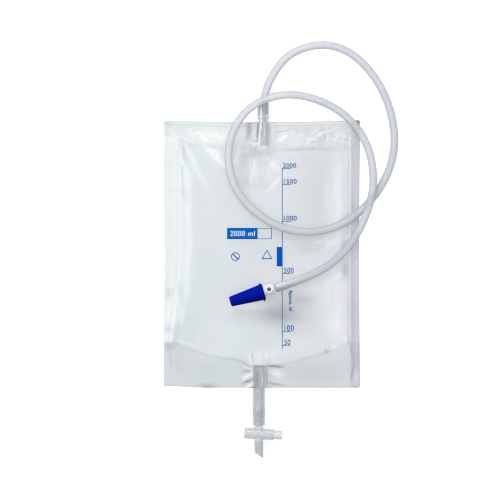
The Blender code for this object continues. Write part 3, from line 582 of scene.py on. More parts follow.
def rounded(corners, steps=4):
    """An outline with round corners, from corners of (along, radius, fillet).

    Each corner becomes a quadratic curve between the points that lie a fillet's length before and
    after it, with one more point beyond either, which keeps the flats flat when shaded.
    """
    corners = np.array(corners, float)
    places = corners[:, :2]
    back = np.roll(places, 1, axis=0) - places
    ahead = np.roll(places, -1, axis=0) - places
    back_length = np.maximum(np.hypot(*back.T), 0.001)
    ahead_length = np.maximum(np.hypot(*ahead.T), 0.001)
    fillet = np.minimum(corners[:, 2], 0.3 * np.minimum(back_length, ahead_length))
    back = back / back_length[:, None] * fillet[:, None]
    ahead = ahead / ahead_length[:, None] * fillet[:, None]
    t = np.linspace(0, 1, steps + 1)[:, None, None]
    curve = places + (1 - t) ** 2 * back + t**2 * ahead
    curve = np.concatenate([(places + 1.5 * back)[None], curve, (places + 1.5 * ahead)[None]])
    return curve.transpose(1, 0, 2).reshape(-1, 2)


def ring_points(profile, base, heading, sides=72, tilt=(0.0, 0.0, 1.0)):
    """A profile of (along, radius) carried round an axis that starts at base.

    heading is the axis as a direction, and tilt a direction that isn't along it. A point is
    base + along * axis + radius * (cosine * side + sine * up).
    """
    axis = np.array(heading) / np.linalg.norm(heading)
    side = np.cross(tilt, axis)
    side = side / np.linalg.norm(side)
    up = np.cross(axis, side)
    angle = np.linspace(0, 2 * np.pi, sides, endpoint=False)
    around = np.cos(angle)[:, None] * side + np.sin(angle)[:, None] * up
    return np.array(base) + profile[:, :1, None] * axis + profile[:, 1:, None] * around


def turned(name, corners, base, heading, material, sides=72, looped=True):
    """A turned piece with rounded edges, from the corners of its outline."""
    points = ring_points(rounded(corners), base, heading, sides)
    return surface(name, points, material, around=True, looped=looped)


moulding_material, start = new_material("clear_moulding", {"Coat Weight": 0.3, "Coat Roughness": 0.1})
cloud = start.noise(120.0, 3.0)
edge = start.edge(0.35)
# Painted highlight: a white stripe along the port, just left of its axis, where the moulding is also
# denser.
off_axis = (start.coordinate("X") * 1000.0 + 0.8) * 0.9
painted_gleam = (1.3 - start.maths("ABSOLUTE", off_axis)).clamped()
shade = cloud.mix((0.47, 0.50, 0.55, 1.0), (0.58, 0.61, 0.66, 1.0))
painted_gleam.mix(shade, (0.95, 0.97, 1.0, 1.0)).into("Base Color")
(0.24 + edge * 0.35 + cloud * 0.06 + painted_gleam * 0.42).into("Alpha")
(0.16 + cloud * 0.16).into("Roughness")
cloud.bump(0.25, 0.0002)

corners = [(STUB_END, LUMEN_RADIUS, 0.3), (STUB_END, STUB_RADIUS, 0.5)]
for rib in STUB_RIBS:
    corners += [(rib - RIB_FOOT, STUB_RADIUS, 0.2), (rib - RIB_CREST, STUB_RADIUS + RIB_HEIGHT, 0.2)]
    corners += [(rib + RIB_CREST, STUB_RADIUS + RIB_HEIGHT, 0.2), (rib + RIB_FOOT, STUB_RADIUS, 0.2)]
corners += [
    (SOCKET_FOOT, STUB_RADIUS, 0.4), (SOCKET_FOOT + 0.8, SOCKET_WALL_RADIUS, 0.4),
    (SOCKET_MOUTH - 2.2, SOCKET_WALL_RADIUS, 0.3),
    (SOCKET_MOUTH - 2.0, SOCKET_WALL_RADIUS + SOCKET_LIP, 0.2),
    (SOCKET_MOUTH, SOCKET_WALL_RADIUS + SOCKET_LIP, 0.4), (SOCKET_MOUTH, SOCKET_BORE, 0.4),
    (SOCKET_MOUTH - SOCKET_DEPTH, SOCKET_BORE, 0.3), (SOCKET_MOUTH - SOCKET_DEPTH, LUMEN_RADIUS, 0.3),
]
base = (INLET_X - SOCKET_SHIFT, 0, PORT_Z)
port = turned("inlet_port_moulding", corners, base, (0, 1, 0), moulding_material)
fit(port, "bag", "clear_moulding", "inlet_port")

# Outlet tube: thick soft PVC tube whose upper end is welded between the films at the chamber's
# foot. The barb of the tap stretches it a little, and its cut lower end flares.
OUTLET_FOOT = OUTLET_LOW[1]
OUTLET_RADIUS, OUTLET_BORE, BARB, BARB_REACH = 5.9, 4.0, 0.5, 5.0
BARB_Y = OUTLET_FOOT + 14.0

soft_material, start = new_material("soft_tube", {
    "Specular IOR Level": 0.6, "Coat Weight": 0.35, "Coat Roughness": 0.15,
})
cloud = start.noise(60.0, 3.0)
edge = start.edge(0.4)
cloud.mix((0.52, 0.56, 0.60, 1.0), (0.62, 0.66, 0.71, 1.0)).into("Base Color")
(0.42 + edge * 0.4).into("Alpha")
(0.22 + cloud * 0.14).into("Roughness")
cloud.bump(0.3, 0.0003)

outlet = turned("outlet_tube_hose", [
    (OUTLET_TOP, OUTLET_BORE, 0.3), (OUTLET_TOP, OUTLET_RADIUS, 0.6),
    (BARB_Y + BARB_REACH, OUTLET_RADIUS, 2.0), (BARB_Y, OUTLET_RADIUS + BARB, 1.2),
    (BARB_Y - BARB_REACH, OUTLET_RADIUS, 2.0), (OUTLET_FOOT + 3, OUTLET_RADIUS, 1.0),
    (OUTLET_FOOT, OUTLET_RADIUS + BARB / 2, 0.3), (OUTLET_FOOT, OUTLET_BORE, 0.3),
    (BARB_Y - BARB_REACH, OUTLET_BORE, 1.5), (BARB_Y, OUTLET_BORE + BARB, 1.0),
    (BARB_Y + BARB_REACH, OUTLET_BORE, 1.5),
], (OUTLET_X, 0, OUTLET_Z), (0, 1, 0), soft_material)
fit(outlet, "bag", "soft_tube", "outlet_tube")

# Front film: the second sheet of the bag, welded to the back one along its four sides. It is
# drawn tight over the stub and the tube, and it creases away from both and at the corners.
CREASES = (  # from x, y to x, y, half width, then height
    (-63, 129, -55, 109, 2.2, 0.5), (-57, 111, -31, 87, 3.2, 0.5), (-80, 111, -51, 66, 2.8, 0.35),
    (-89, 117, -73, 80, 1.8, 0.3), (-86, 76, -72, 49, 1.6, 0.25), (-98, 132.6, -27, 132.6, 0.9, -0.15),
    (8, 130.5, 80, 133.2, 0.9, -0.15), (14, 124, 31, 127.5, 1.5, -0.35), (11.5, 115, 21, 126, 2.2, 0.4),
    (42, 118, 46.5, 128, 1.3, -0.35), (48, 115, 52, 129, 1.3, 0.4), (52, 110, 64, 119, 1.5, -0.35),
    (65, 112, 65, 124, 1.2, 0.35), (72, 116, 86, 127, 2.0, 0.35), (57, 124, 79, 126, 1.3, -0.25),
    (23, 110, 40, 114, 2.6, 0.3), (0, 102, 26, 81, 3.2, 0.55), (2, 101, 7, 65, 2.6, 0.45),
    (25, 78, 0, 62, 2.6, 0.35), (-6, 102, -6, 64, 2.0, 0.4), (-12, 115, -24, 64, 3.2, 0.35),
    (-14, 136, -23, 114, 2.2, 0.6), (-12, 115, -3.5, 111.5, 0.9, 0.5), (-23, -110, -11, -117, 1.1, -0.3),
    (-21, -127, -9, -120.5, 1.6, 0.55), (-20, -132.5, -9, -128, 1.0, -0.4),
    (-17, -137, -9, -131, 1.3, 0.55), (4, -112.5, 25, -115, 1.3, -0.3), (4, -117.5, 20, -121, 2.4, 0.4),
    (4, -131, 25, -134.5, 1.2, -0.35), (-14, -98, -8, -109, 2.0, 0.08), (2, -96, 8, -108, 2.4, 0.08),
    (93, -84, 94, -118, 1.3, 0.35), (94.5, -114, 88, -136, 1.4, 0.5), (70, -95, 76, -86, 1.6, 0.3),
    (-100, 66.7, -85, 66.2, 1.2, -0.25), (-93, -93, -90, -118, 1.7, -0.3),
    (-65, -135.5, -50, -135.5, 2.0, 0.5),
)


def front_under(x, y):
    """Underside of the front film: its rest shape, its creases, slack waves and the weld's groove."""
    height = front_rest(x, y) + sum(fold[5] * stroke(x, y, *fold[:5]) for fold in CREASES)
    slack = 0.16 * np.sin(x / 11 + np.sin(y / 17) * 1.3) * np.sin(y / 23 + 1.1) * inside_chamber(x, y)
    puckers = (0.09 + 0.04 * smooth(x / 40)) * crumpled(x, y)
    groove = line(y - weld_foot(x), 0.8) + line(x - CHAMBER_RIGHT, 0.7) + line(x - weld_left(y), 0.7)
    return np.maximum(height + slack + puckers - 0.12 * np.minimum(groove, 1), WELDED)


front_film = film_sheet("front_film_sheet", (14, 148, 11, 32, 160, 34), front_under)
fit(front_film, "bag", "film", "front_film")

# Print: blue ink on the front film. A volume scale with plain numerals, a capacity field with an
# outlined field beside it, and two bare marks. All of it follows the film.
INK = 0.04
INK_LIFT = 0.03
SCALE_X = 20.9
SCALE_LINE, TICK_LINE, TICK_LENGTH = 0.75, 0.55, 9.4
SCALE_MARKS = (  # volume, its tick's place along the bag, then its numerals' left end, width and height
    (2000, 87.5, 21.7, 13.5, 4.7), (1500, 71.2, 22.5, 13.2, 4.8), (1000, 33.5, 22.6, 13.2, 5.1),
    (500, -19.9, 22.8, 9.8, 5.4), (100, -79.3, 23.3, 9.5, 5.8), (50, -93.7, 23.0, 6.3, 5.5),
)
SCALE_FOOT = -97.8
BAR = (15.35, -12.5, 21.3, 7.3)  # left, foot, right, top
PANEL = (-35.4, 15.4, 10.4, 26.8)
PANEL_FILLED = 31.1
PANEL_LINE = 0.55
RING = (-26.9, -2.5, 4.4)  # centre, then radius
TRIANGLE = (5.3, -1.8, 6.4)
MARK_LINE = 0.8
NUMERAL_ABOVE_TICK = 0.8


def on_film(x, y):
    """Height of the film's outer face, where it lies nearly level."""
    return front_under(x, y) + FILM * 1.02 + INK_LIFT


def ink(name, deeper, paler, gloss=0.03, bumps=0.0):
    """A printed ink, a little patchy in colour and in gloss."""
    made, start = new_material(name, {"Specular IOR Level": gloss})
    patchy = start.noise(700.0, 4.0)
    patchy.mix(deeper, paler).into("Base Color")
    (0.35 + patchy * 0.2).into("Roughness")
    if bumps:
        patchy.bump(bumps, 0.0001)
    return made


bar_material = ink("blue_ink", (0.0, 0.07, 0.48, 1.0), (0.0, 0.09, 0.58, 1.0), bumps=0.2)
panel_material = ink("blue_ink_panel", (0.0, 0.10, 0.42, 1.0), (0.0, 0.13, 0.50, 1.0))
line_material = ink("blue_ink_lines", (0.0, 0.12, 0.38, 1.0), (0.0, 0.155, 0.46, 1.0))
pale_material = ink("pale_ink", (0.70, 0.84, 0.97, 1.0), (0.82, 0.92, 1.0, 1.0), gloss=0.3)


def joined(name, pieces):
    """One object from several, whose meshes are put together."""
    chosen = {"selected_objects": pieces, "selected_editable_objects": pieces}
    with bpy.context.temp_override(active_object=pieces[0], **chosen):
        bpy.ops.object.join()
    pieces[0].name = name
    return pieces[0]


def inked(xs, ys, material=line_material):
    """Ink on a grid of places, laid on the film."""
    return surface("ink", np.stack([xs, ys, on_film(xs, ys)], -1), material)


def stripe(x0, y0, x1, y1, material=line_material, step=1.5):
    """A rectangle of ink in cells no longer than step."""
    across = np.linspace(x0, x1, max(2, math.ceil(abs(x1 - x0) / step) + 1))
    along = np.linspace(y0, y1, max(2, math.ceil(abs(y1 - y0) / step) + 1))
    return inked(*np.meshgrid(across, along), material)


def hoop(centre, radius, width, turns, start=0.0):
    """An outlined regular figure: the line between two radii, each shortened to its flat sides.

    The side's distance from the centre is radius * cos(pi / turns) / cos(angle from its middle).
    """
    even = (np.arange(turns * 12 + 1) / 12)[::-1, None]
    angle = start + even * 2 * np.pi / turns
    flat = math.cos(math.pi / turns) / np.cos((even % 1 - 0.5) * 2 * np.pi / turns)
    radii = np.array([[radius, radius - width / math.cos(math.pi / turns)]]) * flat
    return inked(centre[0] + radii * np.cos(angle), centre[1] + radii * np.sin(angle))


def bar_across(centre, reach, width):
    """A bar across a ring, from its upper left to its lower right."""
    along, beside = np.meshgrid(np.linspace(-reach, reach, 9), (-width / 2, width / 2))
    xs = centre[0] + (along + beside) * math.sqrt(0.5)
    return inked(xs, centre[1] + (beside - along) * math.sqrt(0.5))


def words(text, x, y, width, height, material, bolder=0.013, turn=0.0, lift=0.0):
    """Plain lettering as a mesh, stretched to a width and height, turned about x, y and laid on."""
    font = bpy.data.curves.new("words", "FONT")
    font.body = text
    font.offset = bolder
    font.resolution_u = 6
    font.space_character = 1.1
    source = added("words", font)
    mesh = bpy.data.meshes.new_from_object(source)
    bpy.data.objects.remove(source)
    flat = np.zeros(len(mesh.vertices) * 3)
    mesh.vertices.foreach_get("co", flat)
    flat = flat.reshape(-1, 3)
    flat = (flat - flat.min(0)) / np.ptp(flat, axis=0).clip(0.001) * (width, height, 0)
    xs = x + flat[:, 0] * math.cos(turn) - flat[:, 1] * math.sin(turn)
    ys = y + flat[:, 0] * math.sin(turn) + flat[:, 1] * math.cos(turn)
    mesh.vertices.foreach_set("co", (np.stack([xs, ys, on_film(xs, ys) + lift], -1) * MM).ravel())
    mesh.materials.clear()
    mesh.materials.append(material)
    return added("words", mesh)


half = SCALE_LINE / 2
scale = [stripe(SCALE_X - half, SCALE_FOOT, SCALE_X + half, SCALE_MARKS[0][1] + TICK_LINE / 2)]
for volume, y, left, width, height in SCALE_MARKS:
    scale.append(stripe(SCALE_X + half, y - TICK_LINE / 2, SCALE_X + TICK_LENGTH, y + TICK_LINE / 2))
    scale.append(words(str(volume), left, y + NUMERAL_ABOVE_TICK, width, height, line_material))
scale.append(words("Approx. ml", 26.8, -36.9, 21.3, 4.8, line_material, 0.035, turn=-math.pi / 2))
fill = PANEL[0] + PANEL_FILLED
panel = [
    stripe(PANEL[0], PANEL[1], fill, PANEL[3], panel_material),
    stripe(fill, PANEL[1], PANEL[2], PANEL[1] + PANEL_LINE),
    stripe(fill, PANEL[3] - PANEL_LINE, PANEL[2], PANEL[3]),
    stripe(PANEL[2] - PANEL_LINE, PANEL[1], PANEL[2], PANEL[3]),
]
ring = [hoop(RING, RING[2], MARK_LINE, 24), bar_across(RING, RING[2] - MARK_LINE / 2, 1.2)]
triangle = [hoop(TRIANGLE, TRIANGLE[2], MARK_LINE, 3, math.pi / 2)]
scale.append(stripe(*BAR, bar_material))
marks = {"print_scale": scale, "print_panel": panel, "print_ring": ring, "print_triangle": triangle}
for name, parts in marks.items():
    mark = joined(name + "_ink", parts)
    film_wall(mark, INK)
    fit(mark, "bag", "blue_ink", name)
capacity = words("2000 ml", PANEL[0] + 3.0, PANEL[1] + 2.9, 25.5, 5.6, pale_material, 0.0, lift=INK + 0.02)
capacity.name = "print_capacity"
film_wall(capacity, INK)
fit(capacity, "bag", "blue_ink")

# Tap body: one clear moulding. Its barbed spigot is pushed into the outlet tube, its neck runs
# into a barrel that lies across, and a slant-cut spout leaves the barrel below.
SKEW = math.radians(-3.5)
BARREL_Y = OUTLET_FOOT - 9.2
BARREL_MIDDLE = (OUTLET_X, BARREL_Y, OUTLET_Z)
BARREL_RADIUS, BARREL_BORE, BARREL_HALF = 5.6, 4.45, 14.85
NECK_RADIUS, NECK_FLARE, SPIGOT_RADIUS, SPIGOT_TOP = 4.45, 0.6, 3.6, 25.7
SPOUT_SHORT, SPOUT_LONG, SPOUT_LEVEL = 18.6, 24.5, 9.5
BARREL_DIP = 0.12
BARREL_AXIS = (math.cos(SKEW), math.sin(SKEW), 0)


def stem_points(rows, side):
    """Rings of a pipe that leaves the barrel, each given as (radius, along, share, slanted).

    share 1 sets a ring on the barrel's surface, that far out from it, and share 0 sets it level
    at that distance from the barrel's axis. A slanted ring follows the cut of the spout. side is
    1 for the neck above and -1 for the spout.
    """
    rows = np.array(rows, float)
    angle = np.linspace(0, 2 * np.pi, 64, endpoint=False)
    xs, zs = rows[:, :1] * np.cos(angle), rows[:, :1] * np.sin(angle)
    saddle = np.sqrt(np.maximum(BARREL_RADIUS**2 - zs**2, 0)) / math.cos(SKEW)
    saddle = saddle + side * xs * math.tan(SKEW)
    out = rows[:, 1:2] + rows[:, 2:3] * saddle
    slant = (SPOUT_LONG - SPOUT_SHORT) / (2 * NECK_RADIUS)
    out = out + np.where(rows[:, 3:4] > 0, slant * xs, 0)
    return np.array(BARREL_MIDDLE) + np.stack([xs, side * out, zs], -1)


tap_material, start = new_material("tap_moulding", {"Coat Weight": 0.4, "Coat Roughness": 0.08})
cloud = start.noise(150.0, 3.0)
edge = start.edge(0.35)
below = (start.coordinate("Y") + 0.190) * -600.0
barrel_colour = cloud.mix((0.79, 0.83, 0.86, 1.0), (0.87, 0.90, 0.92, 1.0))
below.mix(barrel_colour, (0.57, 0.64, 0.64, 1.0)).into("Base Color")
(0.46 + edge * 0.3 + below.clamped() * 0.1).into("Alpha")
(0.2 + cloud * 0.14).into("Roughness")
cloud.bump(0.1, 0.0002)

flare = np.linspace(0, 1, 7)
fillet = [(NECK_RADIUS + NECK_FLARE * (1 - s) ** 2, -0.15 + NECK_FLARE * s**2, 1, 0) for s in flare]
shoulder = OUTLET_FOOT - BARREL_Y - 0.3
barb = BARB_Y - BARREL_Y
neck = surface("tap_neck", stem_points(fillet + [
    (NECK_RADIUS, shoulder - 0.9, 0, 0), (NECK_RADIUS, shoulder - 0.5, 0, 0),
    (NECK_RADIUS - 0.2, shoulder - 0.1, 0, 0), (NECK_RADIUS - 0.45, shoulder, 0, 0),
    (SPIGOT_RADIUS, shoulder, 0, 0), (SPIGOT_RADIUS, barb - 2.5, 0, 0),
    (SPIGOT_RADIUS + 0.45, barb - 0.3, 0, 0), (SPIGOT_RADIUS + 0.5, barb, 0, 0),
    (SPIGOT_RADIUS - 0.5, SPIGOT_TOP, 0, 0), (LUMEN_RADIUS, SPIGOT_TOP, 0, 0),
    (LUMEN_RADIUS, shoulder, 0, 0), (LUMEN_RADIUS, -0.3, 1, 0),
], 1), tap_material, around=True, looped=True, sharp=40)
middle = (SPOUT_SHORT + SPOUT_LONG) / 2
spout = surface("tap_spout", stem_points(fillet + [
    (NECK_RADIUS, SPOUT_LEVEL, 0, 0), (NECK_RADIUS - 0.1, middle - 0.7, 0, 1),
    (NECK_RADIUS - 0.12, middle - 0.15, 0, 1), (NECK_RADIUS - 0.3, middle, 0, 1),
    (LUMEN_RADIUS + 0.35, middle, 0, 1), (LUMEN_RADIUS + 0.2, middle - 0.2, 0, 1),
    (LUMEN_RADIUS, SPOUT_LEVEL, 0, 0), (LUMEN_RADIUS, -0.3, 1, 0),
], -1), tap_material, around=True, looped=True, sharp=40)
barrel = turned("tap_barrel", [
    (-BARREL_HALF, BARREL_BORE, 0.25), (-BARREL_HALF, BARREL_RADIUS, 0.35),
    (-BARREL_HALF + 1.6, BARREL_RADIUS, 0.2), (-BARREL_HALF + 1.8, BARREL_RADIUS - BARREL_DIP, 0.2),
    (BARREL_HALF - 2.0, BARREL_RADIUS - BARREL_DIP, 0.2), (BARREL_HALF - 1.8, BARREL_RADIUS, 0.2),
    (BARREL_HALF, BARREL_RADIUS, 0.35), (BARREL_HALF, BARREL_BORE, 0.25),
], BARREL_MIDDLE, BARREL_AXIS, tap_material)
for piece in (barrel, neck, spout):
    fit(piece, "bag", "clear_moulding", "tap_body")

# Tap plunger: a white rod that slides through the barrel. Its waist opens the way when it is
# pushed in, and three soft rings in grooves seal it.
PLUNGER_RADIUS, PLUNGER_TRAVEL, WAIST_RADIUS = 4.25, 8.9, 2.2
SEALS = (-4.5, 4.5, 13.5)
SEAL_WIDTH, GROOVE_HALF = 1.1, 0.65
WAIST = (5.5, 12.5)


def notch(start, end, radius, fillet):
    """Four corners of a notch in the rod, down to a radius, from start to end along it."""
    down = [(start, PLUNGER_RADIUS, fillet[0]), (start, radius, fillet[1])]
    return down + [(end, radius, fillet[1]), (end, PLUNGER_RADIUS, fillet[0])]


corners = [
    (-BARREL_HALF, 0, 0), (-BARREL_HALF, 3.0, 0.2), (-BARREL_HALF + 0.3, 3.2, 0.2),
    (-BARREL_HALF, 3.5, 0.2), (-BARREL_HALF, PLUNGER_RADIUS, 0.45),
]
floor = PLUNGER_RADIUS - SEAL_WIDTH - 0.05
grooves = [notch(seal - GROOVE_HALF, seal + GROOVE_HALF, floor, (0.1, 0.1)) for seal in SEALS]
corners += grooves[0] + grooves[1] + notch(*WAIST, WAIST_RADIUS, (0.3, 0.5)) + grooves[2]
right = BARREL_HALF + PLUNGER_TRAVEL
corners += [
    (right - 1.5, PLUNGER_RADIUS, 0.15), (right - 1.3, PLUNGER_RADIUS - 0.15, 0.15),
    (right - 1.1, PLUNGER_RADIUS, 0.15), (right, PLUNGER_RADIUS, 0.5), (right, 3.4, 0.2),
    (right - 0.4, 3.1, 0.2), (right - 0.4, 0, 0),
]
rod_material, start = new_material("plunger_moulding", {"Coat Weight": 0.2, "Coat Roughness": 0.2})
cloud = start.noise(90.0, 4.0)
cloud.mix((0.66, 0.69, 0.71, 1.0), (0.74, 0.76, 0.78, 1.0)).into("Base Color")
(0.32 + cloud * 0.18).into("Roughness")
plunger = turned("tap_plunger_rod", corners, BARREL_MIDDLE, BARREL_AXIS, rod_material, looped=False)
fit(plunger, "plunger", "white_moulding", "tap_plunger")

silicone_material, start = new_material("silicone", {"Specular IOR Level": 0.4})
cloud = start.noise(500.0, 2.0)
cloud.mix((0.60, 0.63, 0.63, 1.0), (0.72, 0.74, 0.74, 1.0)).into("Base Color")
(0.45 + cloud * 0.2).into("Roughness")
angle = np.linspace(0, 2 * np.pi, 12, endpoint=False)
out = PLUNGER_RADIUS + 0.05 - SEAL_WIDTH / 2 + SEAL_WIDTH / 2 * np.cos(angle)
for number, along in enumerate(SEALS, 1):
    profile = np.stack([along + SEAL_WIDTH / 2 * np.sin(angle), out], -1)
    points = ring_points(profile, BARREL_MIDDLE, BARREL_AXIS, 48)
    seal = surface(f"seal_ring_{number}", points, silicone_material, around=True, looped=True)
    fit(seal, "plunger", "seal_rubber", f"plunger_seal_{number}")

# Inlet tube: 0.9 m of soft clear PVC tube, bonded into the port's socket. It lies in loose loops
# round the bag and over itself, and its far end is stretched over the connector's flange.
TUBE_RADIUS, TUBE_BORE, TUBE_FLARE, FLARE_LENGTH = 3.85, 2.75, 0.13, 25.0
TUBE_STEP = 2.2
TIGHT_LENGTH = 38.0
ROUTE = (
    (1.95, 143.3, 5.9), (1.95, 149, 5.9), (2.0, 155, 5.9), (3.4, 163, 5.6), (7.2, 174.8, 4.7),
    (14.6, 188.3, 3.95), (25, 200.8, 3.85), (40.5, 209.8, 3.85), (62, 213.9, 3.85),
    (83, 209.6, 3.85), (104, 194.6, 3.85), (122.5, 169.2, 3.85), (133.2, 139.5, 3.85),
    (135.5, 110, 3.85), (127.2, 79, 3.85), (111.6, 55.1, 4.3), (91.9, 36.8, 6.2),
    (70, 26, 8.6), (46, 22.7, 8.85), (19, 27.7, 8.85), (-8.5, 45.0, 8.85), (-27.5, 69.5, 8.9),
    (-34, 96, 9.2), (-28.5, 126.4, 11.3), (-12.5, 148.2, 14.6), (6, 158.4, 15.3),
    (29, 162.5, 12.5), (52, 159.0, 8.0), (74, 149.6, 5.6), (94, 133, 5.1), (107.3, 112, 5.5),
    (113.2, 88, 8.9), (112.8, 64, 12.2), (104.1, 35, 11.9), (90, 9.6, 9.5), (67.5, -12, 8.9),
    (42, -25.1, 11.1), (25.5, -31.15, 13.5),
)
CONNECTOR = np.array([0.3, -38.75, 14.0])  # middle of the cap's open end
CONNECTOR_TURN = math.radians(16.8)
CONNECTOR_AXIS = np.array([math.cos(CONNECTOR_TURN), math.sin(CONNECTOR_TURN), 0])
FLANGE_END = 14.3


def lengths_along(points):
    """How far along a line each of its points lies."""
    return np.insert(np.cumsum(np.linalg.norm(np.diff(points, axis=0), axis=1)), 0, 0)


def spline_through(points, step):
    """Evenly spaced points on the natural cubic spline through the given ones, and its length."""
    points = np.array(points)
    knots = lengths_along(points)
    h = np.diff(knots)
    slopes = np.diff(points, axis=0) / h[:, None]
    matrix = np.eye(len(points))
    inner = np.arange(1, len(points) - 1)
    matrix[inner, inner - 1], matrix[inner, inner + 1] = h[:-1], h[1:]
    matrix[inner, inner] = 2 * (h[:-1] + h[1:])
    bend = np.zeros_like(points)
    bend[1:-1] = 6 * np.diff(slopes, axis=0)
    bend = np.linalg.solve(matrix, bend)

    def at(length):
        k = np.clip(np.searchsorted(knots, length) - 1, 0, len(h) - 1)
        left, right, gap = (length - knots[k])[:, None], (knots[k + 1] - length)[:, None], h[k][:, None]
        curved = (bend[k] * right**3 + bend[k + 1] * left**3) / (6 * gap)
        curved = curved + (points[k] / gap - bend[k] * gap / 6) * right
        return curved + (points[k + 1] / gap - bend[k + 1] * gap / 6) * left

    fine = at(np.linspace(0, knots[-1], 4000))
    travelled = lengths_along(fine)
    wanted = np.linspace(0, travelled[-1], round(travelled[-1] / step) + 1)
    spaced = [np.interp(wanted, travelled, fine[:, axis]) for axis in range(3)]
    return np.stack(spaced, axis=1), travelled[-1]


def pipe_points(middle, radii, sides):
    """Rings about a line: across it, one direction is level and the other square to both."""
    ahead = np.gradient(middle, axis=0)
    ahead = ahead / np.linalg.norm(ahead, axis=1)[:, None]
    level = np.cross(ahead, (0, 0, 1))
    level = level / np.linalg.norm(level, axis=1)[:, None]
    up = np.cross(level, ahead)
    angle = np.linspace(0, 2 * np.pi, sides, endpoint=False)[:, None]
    around = np.cos(angle) * level[:, None] + np.sin(angle) * up[:, None]
    return middle[:, None] + radii[:, None, None] * around


hose_material, start = new_material("inlet_hose", {"Specular IOR Level": 0.35, "Coat Roughness": 0.15})
cloud = start.noise(22.0, 3.0)
fine = start.noise(400.0, 2.0)
edge = start.edge(0.5)
bore = start.stored("bore")
tight = start.stored("tight")
# Painted shade: the tube is painted darker towards +X and towards the bag's foot, and lighter to the left,
# as light falls on it. The cloud adds random tone.
painted_shade_slope = start.coordinate("X") * 6.0 - start.coordinate("Y") * 3.0
thin = (painted_shade_slope + cloud * 1.2 - 0.15).mix((0.80, 0.83, 0.885, 1.0), (0.67, 0.71, 0.77, 1.0))
thin = (edge * edge * 1.2).mix(thin, (0.50, 0.53, 0.58, 1.0))
thin = (tight * 1.2).mix(thin, (0.70, 0.73, 0.76, 1.0))
# Painted shade and shadow: the stretched end's flank towards the bag's foot, and the ring at the flange,
# are painted dark.
(start.stored("painted_shade_under") * 1.2).mix(thin, (0.38, 0.40, 0.43, 1.0)).into("Base Color")
((0.5 + edge * 0.3 + tight * 0.4) * (1.0 - bore * 0.6)).into("Alpha")
(0.24 + cloud * 0.12 + bore * 0.5).into("Roughness")
(0.14 - bore * 0.14).into("Coat Weight")
fine.bump(0.04, 0.0002)

middle, tube_length = spline_through(ROUTE + (tuple(CONNECTOR + CONNECTOR_AXIS * FLANGE_END),), TUBE_STEP)
to_end = np.linalg.norm(middle - middle[-1], axis=1)
swell = 1 + TUBE_FLARE * np.maximum(0, 1 - to_end / FLARE_LENGTH)
outer = pipe_points(middle, TUBE_RADIUS * swell, 40)
inner = pipe_points(middle, TUBE_BORE * swell, 40)
hose = surface("inlet_hose", np.concatenate([outer, inner[::-1]]), hose_material, around=True, looped=True)
store(hose, "bore", np.repeat([0.0, 1.0], outer.shape[0] * outer.shape[1]))
to_end = np.concatenate([to_end, to_end[::-1]])[:, None]
tightness = np.maximum(0, 1 - to_end / TIGHT_LENGTH)
store(hose, "tight", np.repeat(tightness, outer.shape[1]))
# Painted shade on that flank of the stretched end, and a painted shadow on its last ring, at the flange.
under = smooth(0.5 - 0.9 * np.cos(np.linspace(0, 2 * np.pi, outer.shape[1], endpoint=False)))
store(hose, "painted_shade_under", np.maximum(tightness * under, 0.75 * line(to_end, 1.2)))
fit(hose, "bag", "soft_tube", "inlet_tube")

# Catheter connector: one white moulding. A stepped nozzle for the catheter, a block with the
# sample port in its top, and a thin dished flange where the inlet tube begins.
NOZZLE_LENGTH, NOZZLE_TIP, NOZZLE_STEP_RISE, NOZZLE_BORE = 29.0, 2.6, 2.0 / 3, 1.75
PLUG_REACH = 3.0
NOZZLE_RUN = (NOZZLE_LENGTH - PLUG_REACH) / 3
BLOCK_RADIUS, BLOCK_OFFSET, BLOCK_START, FLANGE_START, FLANGE_FACE = 6.15, 1.1, 2.5, 12.1, 13.0
SAMPLE_ALONG = 7.6
BOSS_FOOT, BOSS_FLARE, SEPTUM_ROOM = 4.0, 0.5, 0.25
SAMPLE_ROLL = math.radians(8)
BOSS_RADIUS, SEPTUM_RADIUS, SPIGOT_UNDER_TUBE = 3.7, 1.95, 3.1

white_material, start = new_material("white_moulding", {"Coat Weight": 0.25, "Coat Roughness": 0.15})
cloud = start.noise(90.0, 4.0)
pits = start.noise(1800.0, 2.0)
cloud.mix((0.70, 0.73, 0.745, 1.0), (0.78, 0.80, 0.81, 1.0)).into("Base Color")
(0.3 + pits * 0.18).into("Roughness")
pits.bump(0.25, 0.0001)

corners = [(-NOZZLE_LENGTH, NOZZLE_BORE, 0.2)]
for step in range(3):
    foot, radius = step * NOZZLE_RUN - NOZZLE_LENGTH, NOZZLE_TIP + step * NOZZLE_STEP_RISE
    corners += [(foot, radius, 0.3), (foot + 0.85 * NOZZLE_RUN, radius + NOZZLE_STEP_RISE + 0.45, 0.4)]
    corners += [(foot + NOZZLE_RUN, radius + NOZZLE_STEP_RISE, 0.3)]
corners += [
    (-PLUG_REACH, 5.8, 0.5), (BLOCK_START + 0.5, 6.1, 0.1), (BLOCK_START + 0.5, 4.0, 0.1),
    (FLANGE_START, 4.0, 0.1), (FLANGE_START, BLOCK_RADIUS, 0.3),
    (FLANGE_FACE, BLOCK_RADIUS, 0.4), (FLANGE_FACE + 0.1, SPIGOT_UNDER_TUBE, 0.3),
    (FLANGE_END, SPIGOT_UNDER_TUBE, 0.3), (FLANGE_END, NOZZLE_BORE, 0.2),
]
connector = turned("connector_moulding", corners, CONNECTOR, CONNECTOR_AXIS, white_material, sides=96)
across = np.array([-CONNECTOR_AXIS[1], CONNECTOR_AXIS[0], 0])
